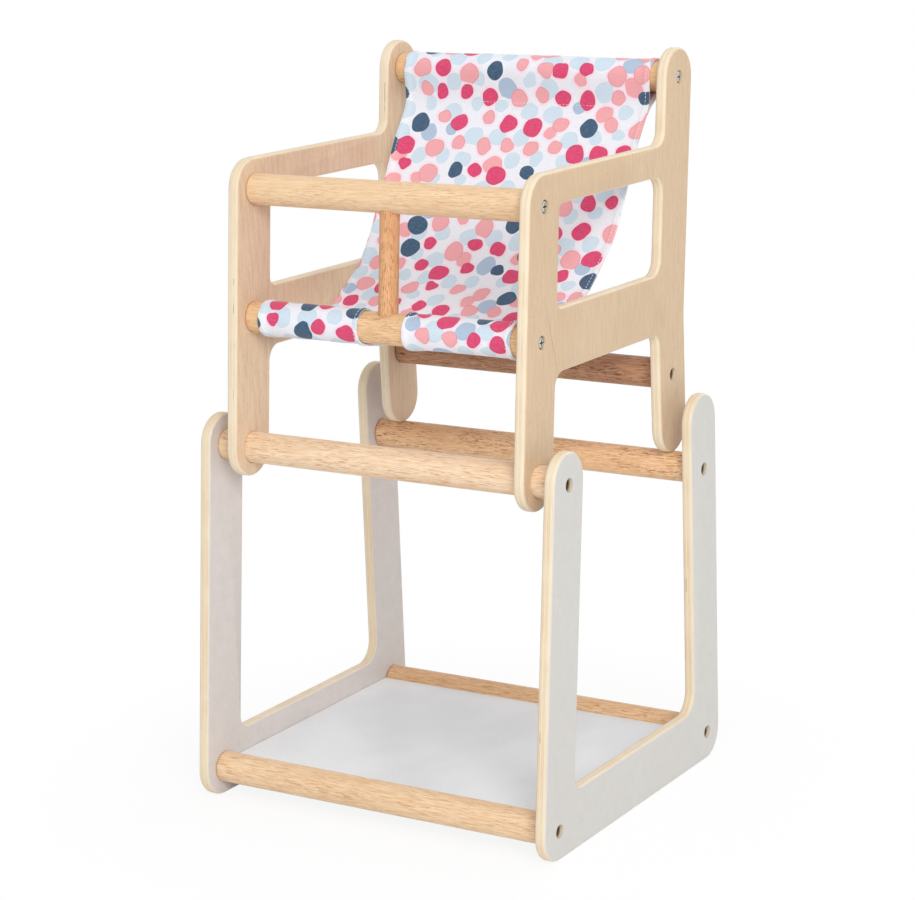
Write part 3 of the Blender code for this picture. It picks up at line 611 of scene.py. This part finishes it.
def board_material():
    """Pale laminate with a fine speckle and broad, faint clouds."""
    graph = Graph("board_laminate_finish")
    point = graph.place()
    clouds = graph.noise(point, BOARD_CLOUDS)
    speckle = graph.noise(point, BOARD_SPECKLE)
    shade = graph.math("MULTIPLY", clouds, BOARD_CLOUD_SHARE)
    shade = graph.math("ADD", shade, graph.math("MULTIPLY", speckle, 1 - BOARD_CLOUD_SHARE))
    graph.bump(speckle, *BOARD_RELIEF)
    color = graph.mix(graph.ramp(shade, *BOARD_DARK_SHOWS), *BOARD_COLORS)
    return graph.finish(color, graph.ramp(speckle, *GLOSS_SHOWS, *BOARD_ROUGHNESS))


def steel_material(name, head_top):
    """Plated steel with faint turning marks, and painted shade in the cross recess of a head that ends at
    this X.
    """
    graph = Graph(name)
    point = graph.place()
    marks = graph.noise(point, STEEL_MARKS)
    graph.bump(marks, *STEEL_RELIEF)
    color = graph.mix(graph.shown(marks, STEEL_MARKS), STEEL, STEEL_MARKED)
    x = graph.math("ABSOLUTE", graph.axes(point)["X"])
    # Painted shade: the head darkens with depth down in its cross recess
    recess_shade = graph.ramp(graph.math("SUBTRACT", head_top, x), *RECESS_SHADE_DEPTHS)
    color = graph.mix(recess_shade, color, STEEL_RECESS_SHADE)
    return graph.finish(color, graph.ramp(marks, *GLOSS_SHOWS, *STEEL_ROUGHNESS), metallic=1.0)


def dot_edge(graph, turned, nearest, chance):
    """How far inside its dot's uneven edge a point is, less than zero outside."""
    oval = graph.vector("MULTIPLY", turned, (DOT_OVAL, 1 / DOT_OVAL, 0.0))
    away = graph.length(oval)
    spread = graph.vector("MULTIPLY", nearest.outputs["Color"], (DOT_WOBBLE_SPREAD,) * 3)
    around = graph.vector("ADD", graph.vector("NORMALIZE", turned), spread)
    wobble = graph.wander(graph.noise(around, DOT_WOBBLE_NOISE), DOT_WOBBLE)
    radius = graph.math("ADD", graph.ramp(chance["Green"], 0.0, 1.0, *DOT_RADII), wobble)
    return graph.math("SUBTRACT", radius, away)


def dot_layer(graph, flat, layer):
    """Painted dots, one to a cell and each a loose oval: where they are, their colours and their halos."""
    shift = DOT_CELL * layer.place
    moved = graph.vector("ADD", flat, (shift, shift, 0.0))
    cells = {"Vector": moved, "Scale": 1 / DOT_CELL, "Randomness": DOT_JITTER}
    nearest = graph.node("ShaderNodeTexVoronoi", cells, voronoi_dimensions="2D", feature="F1")
    chance = graph.node("ShaderNodeSeparateColor", {0: nearest.outputs["Color"]}).outputs
    away = graph.vector("SUBTRACT", moved, nearest.outputs["Position"])
    turned = {"Vector": away, "Angle": graph.math("MULTIPLY", chance["Blue"], 2 * math.pi)}
    turned = graph.node("ShaderNodeVectorRotate", turned, rotation_type="Z_AXIS").outputs[0]
    inside = dot_edge(graph, turned, nearest, chance)
    halo = graph.ramp(inside, -DOT_HALO_REACH, 0.0)
    halo = graph.math("MULTIPLY", halo, graph.bands(chance["Red"], layer.halos, "CONSTANT"))
    hue = graph.bands(chance["Red"], layer.hues, "CONSTANT")
    edge = graph.ramp(inside, DOT_EDGE_SOFTNESS, DOT_DARK_EDGE, 1.0, 0.0)
    hue = graph.mix(edge, hue, graph.vector("MULTIPLY", hue, layer.edge_tint))
    hue = graph.overlay(hue, WHITE, flat, DOT_BRUSH_MARKS)
    return graph.ramp(inside, -DOT_EDGE_SOFTNESS, DOT_EDGE_SOFTNESS), hue, halo


def printed_cloth_material(name, print_strength):
    """Plain-woven cotton with a print of loose, irregular dots in five colours."""
    graph = Graph(name)
    flat = graph.node("ShaderNodeUVMap", uv_map="cloth").outputs[0]
    layers = [dot_layer(graph, flat, layer) for layer in (PALE_LAYER, STRONG_LAYER)]
    halo = graph.math("MAXIMUM", layers[0][2], layers[1][2])
    color = graph.mix(graph.math("MULTIPLY", halo, print_strength), CLOTH_GROUND, DOT_HALO)
    for dots, hue, _ in layers:
        color = graph.mix(graph.math("MULTIPLY", dots, print_strength), color, hue)

    threads = graph.axes(flat)
    warp, weft = (
        graph.math("SINE", graph.math("MULTIPLY", threads[axis], 2 * math.pi / WEAVE_PITCH))
        for axis in ("X", "Y")
    )
    weave = graph.math("MULTIPLY", warp, weft)
    slubs = graph.noise(flat, CLOTH_SLUBS)
    relief = graph.math("ADD", graph.math("MULTIPLY", weave, WEAVE_RELIEF_SHARE), slubs)
    graph.bump(relief, *CLOTH_RELIEF)
    color = graph.mix(graph.ramp(weave, -1.0, 1.0, WEAVE_SHADE, 0.0), color, CLOTH_SHADE)
    color = graph.overlay(color, CLOTH_SHADE, flat, CLOTH_GRAIN)
    graph.shader.inputs["Sheen Weight"].default_value = CLOTH_SHEEN
    return graph.finish(color, graph.ramp(slubs, *GLOSS_SHOWS, *CLOTH_ROUGHNESS))


def thread_material():
    """White sewing thread with a twist."""
    graph = Graph("thread_finish")
    twist = graph.noise(graph.place(), THREAD_TWIST)
    graph.bump(twist, *THREAD_RELIEF)
    return graph.finish(graph.mix(twist, *THREAD_COLORS), graph.ramp(twist, *GLOSS_SHOWS, *THREAD_ROUGHNESS))


def floor_material():
    """A white floor that the camera sees as paper white, with the object's soft shadow on it."""
    graph = Graph("floor_finish")
    clouds = graph.noise(graph.place(), FLOOR_CLOUDS)
    graph.finish(graph.mix(clouds, *FLOOR_COLORS), FLOOR_ROUGHNESS)
    graph.shader.inputs["Specular IOR Level"].default_value = 0.0
    glow = graph.node("ShaderNodeEmission", {"Color": WHITE, "Strength": 1.0})
    path = graph.node("ShaderNodeLightPath")
    seen = graph.math("ADD", path.outputs["Is Camera Ray"], path.outputs["Is Glossy Ray"])
    seen = graph.math("ADD", seen, path.outputs["Is Transmission Ray"])
    reach = graph.length(graph.place())
    white = graph.ramp(reach, *FLOOR_SHADOW_REACH, FLOOR_WHITE_NEAR, 1.0)
    share = graph.math("MULTIPLY", graph.math("MINIMUM", seen, 1.0), white)
    blend = graph.node("ShaderNodeMixShader", {0: share, 1: graph.shader.outputs[0], 2: glow.outputs[0]})
    graph.feed(graph.tree.nodes["Material Output"].inputs["Surface"], blend.outputs[0])
    return graph.material


def dress(node, material):
    """Gives a CAD piece its finish, and shades its flats flat and its rounded edges round."""
    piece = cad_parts[node]
    mesh = piece.data
    loose_normals = mesh.attributes.get("custom_normal")
    if loose_normals:
        mesh.attributes.remove(loose_normals)
    mesh.polygons.foreach_set("use_smooth", [True] * len(mesh.polygons))
    weld = piece.modifiers.new("weld", "WELD")
    weld.merge_threshold = WELD_DISTANCE
    split = piece.modifiers.new("sharp_edges", "EDGE_SPLIT")
    split.split_angle = SMOOTH_ANGLE
    even = piece.modifiers.new("even_flats", "WEIGHTED_NORMAL")
    even.mode = "FACE_AREA_WITH_ANGLE"
    for slot in piece.material_slots:
        slot.material = material


def dress_cad_pieces():
    """Finishes of the plywood sides, the dowels, the board and the screws."""
    for family, look, deep_screws, veined in (
        ("chair_side", CHAIR_PLY, CHAIR_DEEP_SCREWS, True),
        ("base_side", BASE_PLY, BASE_SCREWS, False),
    ):
        low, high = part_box(f"{family}_right")
        holes = [circle_of(f"screw_{screw}_right")[0] for screw in deep_screws]
        material = ply_material(f"{family}_finish", look, (low.x + high.x) / 2, holes, veined)
        for side in ("left", "right"):
            dress(f"{family}_{side}", material)
    for node, look in DOWEL_LOOKS.items():
        end_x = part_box(node)[1].x
        along = UP if node == "crotch_dowel" else ACROSS
        dress(node, dowel_material(f"{node}_finish", look, along, end_x))
    dress("table_board", board_material())
    for screw in CHAIR_SCREWS + BASE_SCREWS:
        head_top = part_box(f"screw_{screw}_right")[1].x
        steel = steel_material(f"{screw}_screw_finish", head_top)
        for side in ("left", "right"):
            dress(f"screw_{screw}_{side}", steel)


def circle_of(node):
    """The middle of a dowel or a screw in (y, z), and its radius."""
    low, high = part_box(node)
    return Vector(((low.y + high.y) / 2, (low.z + high.z) / 2)), (high.y - low.y) / 2


def tangent_angles(centre, radius, point):
    """The angles, seen from the centre, at which the two tangents from a point meet a circle."""
    away = point - centre
    middle = math.atan2(away.y, away.x)
    spread = math.acos(radius / away.length)
    return middle - spread, middle + spread


def arc(centre, radius, start, end):
    """Points round a circle from one angle to the other, the way the angle grows."""
    while end < start:
        end += 2 * math.pi
    count = max(2, math.ceil((end - start) * radius / CLOTH_ROW))
    angles = [start + (end - start) * step / count for step in range(count + 1)]
    return [centre + radius * Vector((math.cos(angle), math.sin(angle))) for angle in angles]


class ClothPath:
    """The cloth from the side: up behind the backrest dowel, over it, and down and round the seat dowel."""

    def __init__(self):
        backrest, radius = circle_of("backrest_dowel")
        seat, _ = circle_of("seat_front_dowel")
        reach = backrest - seat
        route = [seat + Vector((back * reach.x, rise * reach.y)) for back, rise in ROUTE_SHARES]
        loop = radius + DOWEL_CLEARANCE + CLOTH_THICKNESS
        both_plies = 2 * CLOTH_THICKNESS + PLY_GAP
        behind = self.beside(route[0], route[1], -both_plies)
        under = self.beside(route[-1], route[-2], both_plies)
        rear_top = tangent_angles(backrest, loop, behind)[1]
        front_top = tangent_angles(backrest, loop, route[0])[0]
        rear_seat = tangent_angles(seat, loop, route[-1])[1]
        low_seat = tangent_angles(seat, loop, under)[0]
        down = (route[1] - route[0]).normalized()
        on = (route[-2] - route[-1]).normalized()
        top = [behind + down * HEM_ALLOWANCE, behind] + arc(backrest, loop, rear_top, front_top)
        bottom = arc(seat, loop, rear_seat, low_seat) + [under, under + on * HEM_ALLOWANCE]
        self.measure(top + route + bottom, len(top), len(top) + len(route) - 1)

    @staticmethod
    def beside(point, towards, offset):
        """A point moved square to the cloth."""
        along = (towards - point).normalized()
        return point + offset * Vector((along.y, -along.x))

    def measure(self, points, route_start, route_end):
        """Dense points along a smooth curve through these, with the length up to each and to the seams."""
        knots = [2 * points[0] - points[1]] + points + [2 * points[-1] - points[-2]]
        self.dense = []
        marks = []
        for span in range(len(points) - 1):
            marks.append(len(self.dense))
            a, b, c, d = knots[span : span + 4]
            count = max(2, math.ceil((c - b).length / PATH_STEP))
            self.dense += [self.between(a, b, c, d, step / count) for step in range(count)]
        marks.append(len(self.dense))
        self.dense.append(points[-1])
        self.lengths = [0.0]
        for before, after in zip(self.dense, self.dense[1:]):
            self.lengths.append(self.lengths[-1] + (after - before).length)
        self.total = self.lengths[-1]
        self.top_seam = self.lengths[marks[route_start]]
        self.seat_seam = self.lengths[marks[route_end]]

    @staticmethod
    def between(a, b, c, d, share):
        """A point between b and c on the smooth curve through four points, however far apart they are."""
        t1 = (b - a).length ** 0.5
        t2 = t1 + (c - b).length ** 0.5
        t3 = t2 + (d - c).length ** 0.5
        t = t1 + (t2 - t1) * share
        ab = a.lerp(b, t / t1)
        bc = b.lerp(c, (t - t1) / (t2 - t1))
        cd = c.lerp(d, (t - t2) / (t3 - t2))
        abc = ab.lerp(bc, t / t2)
        bcd = bc.lerp(cd, (t - t1) / (t3 - t1))
        return abc.lerp(bcd, (t - t1) / (t2 - t1))

    def at(self, length):
        """The place in (y, z) at a length along the cloth, and the direction square to its printed side."""
        length = min(max(length, 0.0), self.total)
        low = min(bisect.bisect_right(self.lengths, length) - 1, len(self.lengths) - 2)
        share = (length - self.lengths[low]) / (self.lengths[low + 1] - self.lengths[low])
        place = self.dense[low].lerp(self.dense[low + 1], share)
        before = self.dense[max(low - 2, 0)]
        after = self.dense[min(low + 3, len(self.dense) - 1)]
        along = (after - before).normalized()
        return place, Vector((along.y, -along.x))


def smoothstep(low, high, value):
    """A smooth share from 0 at low to 1 at high."""
    share = min(max((value - low) / (high - low), 0.0), 1.0)
    return share * share * (3 - 2 * share)


def soft_noise(share, length, fineness):
    """Noise at a share of the cloth's width and a length along it."""
    across, along, seed = fineness
    return noise.noise(Vector((share * across, length * along, seed)))


class Cloth:
    """The hung cloth as a surface: a point for each X as cut, and each length along."""

    def __init__(self):
        self.path = ClothPath()

    def widened(self, x, length):
        """Where a point of the cloth lies across the chair: shifted at the dowels, drawn in on the seat."""
        path = self.path
        top = smoothstep(-POCKET_TAPER, POCKET_TAPER, min(length - HEM_ALLOWANCE, path.top_seam - length))
        seat = smoothstep(-POCKET_TAPER, POCKET_TAPER, length - path.seat_seam)
        drawn_in = smoothstep(*WAIST_REACH, length - path.top_seam)
        drawn_in *= 1 - smoothstep(path.seat_seam - 2 * POCKET_TAPER, path.seat_seam, length)
        seat_extra = SEAT_POCKET_EXTRA[1 if x > 0 else 0]
        extra = top * TOP_POCKET_EXTRA + seat * seat_extra - drawn_in * WAIST_DEPTH
        extra *= smoothstep(NOTCH_HALF_WIDTH + NOTCH_HEM_WIDTH, CLOTH_HALF_WIDTH, abs(x))
        return x + math.copysign(1.0, x) * extra

    def hem_share(self, x, length):
        """How fully the cloth is folded double here: 1 on the hems of its sides and notch, 0 elsewhere."""
        hem = 1 - smoothstep(HEM_WIDTH - HEM_STEP, HEM_WIDTH, CLOTH_HALF_WIDTH - abs(x))
        if length > self.path.seat_seam:
            from_notch = abs(x) - NOTCH_HALF_WIDTH
            hem = max(hem, 1 - smoothstep(NOTCH_HEM_WIDTH - HEM_STEP, NOTCH_HEM_WIDTH, from_notch))
        return hem

    def thickness(self, x, length):
        """How thick the cloth is here."""
        return CLOTH_THICKNESS + (HEM_THICKNESS - CLOTH_THICKNESS) * self.hem_share(x, length)

    def proud(self, x, length):
        """How far the surface stands off its plain path: hems, sag, ripples, and puckers along the seams."""
        path = self.path
        share = x / (2 * CLOTH_HALF_WIDTH) + 0.5
        edge = abs(2 * share - 1)
        hanging = smoothstep(path.top_seam, path.top_seam + SEAM_FADE, length)
        hanging *= 1 - smoothstep(path.seat_seam - SEAM_FADE, path.seat_seam, length)
        hem = self.thickness(x, length) - CLOTH_THICKNESS
        sag = -SAG_DEPTH * (1 - edge**2) * hanging
        folds = soft_noise(share, length, FOLD_NOISE) * FOLD_DEPTH * hanging
        ripple = soft_noise(share, length, RIPPLE_NOISE) * RIPPLE_DEPTH * edge**RIPPLE_EDGE_POWER * hanging
        crease = abs(soft_noise(share, length, CREASE_NOISE)) * CREASE_HEIGHT * (1 - hanging)
        drawn = math.exp(-(((length - path.top_seam) / SEAM_REACH) ** 2)) * TOP_SEAM_DRAW
        drawn += math.exp(-(((length - path.seat_seam) / SEAM_REACH) ** 2))
        wave = math.sin(share * PUCKER_WAVE + PUCKER_WANDER * soft_noise(share, length, PUCKER_NOISE))
        pucker = (wave - PUCKER_SINK) * PUCKER_DEPTH * drawn
        return hem + sag + folds + ripple + crease + pucker

    def point(self, x, length):
        """A point of the surface, on the printed side."""
        place, out = self.path.at(length)
        place = place + out * self.proud(x, length)
        return Vector((self.widened(x, length), place.x, place.y))

    def out(self, length):
        """The direction square to the cloth, out on the printed side."""
        _, out = self.path.at(length)
        return Vector((0.0, out.x, out.y))


def even_steps(start, end, step):
    """Evenly spaced values from start to end, no further apart than step."""
    count = max(1, math.ceil((end - start) / step))
    return [start + (end - start) * index / count for index in range(count + 1)]


def cloth_columns():
    """The X of each column of the cloth's mesh: one on each edge and hem line, and even steps between."""
    hem_edge = CLOTH_HALF_WIDTH - HEM_WIDTH
    notch_hem = NOTCH_HALF_WIDTH + NOTCH_HEM_WIDTH
    lines = [NOTCH_HALF_WIDTH, notch_hem - HEM_STEP, notch_hem]
    lines += [hem_edge, hem_edge + HEM_STEP, CLOTH_HALF_WIDTH]
    lines = [-x for x in reversed(lines)] + lines
    columns = lines[:1]
    for low, high in zip(lines, lines[1:]):
        columns += even_steps(low, high, CLOTH_COLUMN)[1:]
    return columns


def cloth_shell(cloth):
    """The cloth as an open surface, notched for the crotch dowel, with its flat layout and its thickness."""
    path = cloth.path
    columns = cloth_columns()
    rows = even_steps(0.0, path.seat_seam, CLOTH_ROW)
    rows += even_steps(path.seat_seam, path.total, CLOTH_ROW)[1:]
    shell = bmesh.new()
    flat = shell.loops.layers.uv.new("cloth")
    weights = shell.verts.layers.deform.new()
    grid = [[shell.verts.new(cloth.point(x, length)) for x in columns] for length in rows]
    for row, length in enumerate(rows[:-1]):
        for column, x in enumerate(columns[:-1]):
            in_notch = -NOTCH_HALF_WIDTH - NEAR < x < NOTCH_HALF_WIDTH - NEAR
            if in_notch and length > path.seat_seam - NEAR:
                continue
            corners = ((row, column), (row + 1, column), (row + 1, column + 1), (row, column + 1))
            face = shell.faces.new([grid[r][c] for r, c in corners])
            face.smooth = True
            for loop, (r, c) in zip(face.loops, corners):
                loop[flat].uv = (columns[c], rows[r])
    for length, row in zip(rows, grid):
        for x, vert in zip(columns, row):
            vert[weights][0] = cloth.thickness(x, length) / HEM_THICKNESS
    bmesh.ops.delete(shell, geom=[vert for vert in shell.verts if not vert.link_faces], context="VERTS")
    return shell


def add_object(name, data):
    """A new object in the scene."""
    made = bpy.data.objects.new(name, data)
    bpy.context.scene.collection.objects.link(made)
    return made


def add_piece(name, shell, *materials):
    """A new mesh object made of a shell, which is used up, with these materials."""
    mesh = bpy.data.meshes.new(name)
    shell.to_mesh(mesh)
    shell.free()
    for material in materials:
        mesh.materials.append(material)
    return add_object(name, mesh)


def build_cloth(cloth):
    """The cloth with its full thickness and folded edges, whose print shows more faintly on the reverse."""
    front = printed_cloth_material("printed_cloth_front", 1.0)
    reverse = printed_cloth_material("printed_cloth_reverse", REVERSE_PRINT_STRENGTH)
    piece = add_piece("sling_cloth", cloth_shell(cloth), front, reverse)
    piece.vertex_groups.new(name="thickness")
    finer = piece.modifiers.new("finer", "SUBSURF")
    finer.levels = 1
    finer.render_levels = 1
    body = piece.modifiers.new("cloth_body", "SOLIDIFY")
    body.thickness = HEM_THICKNESS
    body.offset = -1.0
    body.vertex_group = "thickness"
    body.use_even_offset = True
    body.material_offset = 1
    body.material_offset_rim = 1
    edge = piece.modifiers.new("folded_edge", "BEVEL")
    edge.width = FOLDED_EDGE_ROUND
    edge.segments = 2
    edge.limit_method = "ANGLE"
    edge.angle_limit = FOLDED_EDGE_ANGLE
    return piece


def add_stitch(shell, start, end, out):
    """One stitch: a short rounded bar of thread from start to end, bowed outwards."""
    along = (end - start).normalized()
    side = along.cross(out).normalized()
    rings = []
    for share, swell in STITCH_RING_SHARES:
        rise = STITCH_BOW_SHARE * math.sin(math.pi * share) - STITCH_SINK_SHARE
        middle = start.lerp(end, share) + out * (STITCH_RADIUS * rise)
        ring = []
        for step in range(STITCH_SIDES):
            angle = 2 * math.pi * step / STITCH_SIDES
            arm = side * math.cos(angle) + out * math.sin(angle)
            ring.append(shell.verts.new(middle + arm * (STITCH_RADIUS * swell)))
        rings.append(ring)
    for first, second in zip(rings, rings[1:]):
        for step in range(STITCH_SIDES):
            following = (step + 1) % STITCH_SIDES
            face = shell.faces.new((first[step], first[following], second[following], second[step]))
            face.smooth = True
    shell.faces.new(rings[0][::-1])
    shell.faces.new(rings[-1])


def stitch_run(shell, cloth, places):
    """Stitches along a line on the cloth, from each place on it towards the next."""
    for (x, length), (next_x, next_length) in zip(places, places[1:]):
        start = cloth.point(x, length)
        end = cloth.point(next_x, next_length)
        reach = (end - start).length
        if reach > STITCH_LENGTH:
            end = start.lerp(end, STITCH_LENGTH / reach)
        add_stitch(shell, start, end, cloth.out((length + next_length) / 2))


def build_stitches(cloth):
    """The sewing: a row along each side hem and notch edge, and one across each ply by each pocket."""
    path = cloth.path
    shell = bmesh.new()
    hem_row = CLOTH_HALF_WIDTH - HEM_STITCH_INSET
    notch_row = NOTCH_HALF_WIDTH + NOTCH_STITCH_INSET
    for x, start in ((hem_row, ROW_END), (notch_row, path.seat_seam + ROW_END)):
        lengths = even_steps(start, path.total - ROW_END, STITCH_PITCH)
        for side in (-1, 1):
            stitch_run(shell, cloth, [(side * x, length) for length in lengths])
    whole_width = even_steps(-hem_row, hem_row, STITCH_PITCH)
    for seam in (path.top_seam, HEM_ALLOWANCE):
        stitch_run(shell, cloth, [(x, seam) for x in whole_width])
    beside_notch = even_steps(notch_row, hem_row, STITCH_PITCH)
    for seam in (path.seat_seam, path.total - HEM_ALLOWANCE):
        for side in (-1, 1):
            stitch_run(shell, cloth, [(side * x, seam) for x in beside_notch])
    return add_piece("sling_stitching", shell, thread_material())


def build_sling():
    """The cloth seat with its sewing, in place of the plain solid."""
    cloth = Cloth()
    piece = build_cloth(cloth)
    stitches = build_stitches(cloth)
    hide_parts("seat_sling")
    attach(piece, "chair")
    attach(stitches, "chair")


def build_floor():
    """A wide pale floor."""
    shell = bmesh.new()
    bmesh.ops.create_grid(shell, x_segments=2, y_segments=2, size=FLOOR_SIZE / 2)
    floor = add_piece("floor", shell, floor_material())


def build_room():
    """A softly lit white room that the camera and the metal see as plain white."""
    world = bpy.data.worlds.new("room")
    world.use_nodes = True
    bpy.context.scene.world = world
    tree = world.node_tree
    background = tree.nodes["Background"]
    path = tree.nodes.new("ShaderNodeLightPath")
    seen = path.outputs["Is Camera Ray"]
    for name in ("Is Glossy Ray", "Is Transmission Ray"):
        add = tree.nodes.new("ShaderNodeMath")
        add.use_clamp = True
        tree.links.new(seen, add.inputs[0])
        tree.links.new(path.outputs[name], add.inputs[1])
        seen = add.outputs[0]
    strength = tree.nodes.new("ShaderNodeMapRange")
    strength.inputs["To Min"].default_value = ROOM_STRENGTH
    strength.inputs["To Max"].default_value = 1.0
    tree.links.new(seen, strength.inputs["Value"])
    tree.links.new(strength.outputs[0], background.inputs["Strength"])
    background.inputs["Color"].default_value = WHITE


def build_lamps():
    """Soft round lamps, all aimed at the middle of the object."""
    for name, (place, watts) in LAMPS.items():
        light = bpy.data.lights.new(name, "AREA")
        light.shape = "DISK"
        light.size = LAMP_SIZE
        light.energy = watts
        lamp = add_object(name, light)
        lamp.location = place
        lamp.rotation_euler = (Vector(place) - Vector(LAMP_AIM)).to_track_quat("Z", "Y").to_euler()


def build_camera():
    """The camera at the photograph's place and angle."""
    forward = Vector(
        (
            -math.sin(CAMERA_AZIMUTH) * math.cos(CAMERA_ELEVATION),
            math.cos(CAMERA_AZIMUTH) * math.cos(CAMERA_ELEVATION),
            -math.sin(CAMERA_ELEVATION),
        )
    )
    right = Vector((math.cos(CAMERA_AZIMUTH), math.sin(CAMERA_AZIMUTH), 0.0))
    up = right.cross(forward)
    turned_right = right * math.cos(CAMERA_ROLL) + up * math.sin(CAMERA_ROLL)
    turned_up = up * math.cos(CAMERA_ROLL) - right * math.sin(CAMERA_ROLL)
    lens = bpy.data.cameras.new("camera")
    lens.lens = CAMERA_LENS
    lens.sensor_width = CAMERA_SENSOR
    lens.sensor_fit = "HORIZONTAL"
    camera = add_object("camera", lens)
    turn = Matrix((turned_right, turned_up, -forward)).transposed().to_4x4()
    camera.matrix_world = Matrix.Translation(CAMERA_PLACE) @ turn
    bpy.context.scene.camera = camera


bpy.context.scene.view_settings.view_transform = "Standard"
dress_cad_pieces()
build_sling()
build_floor()
build_room()
build_lamps()
build_camera()
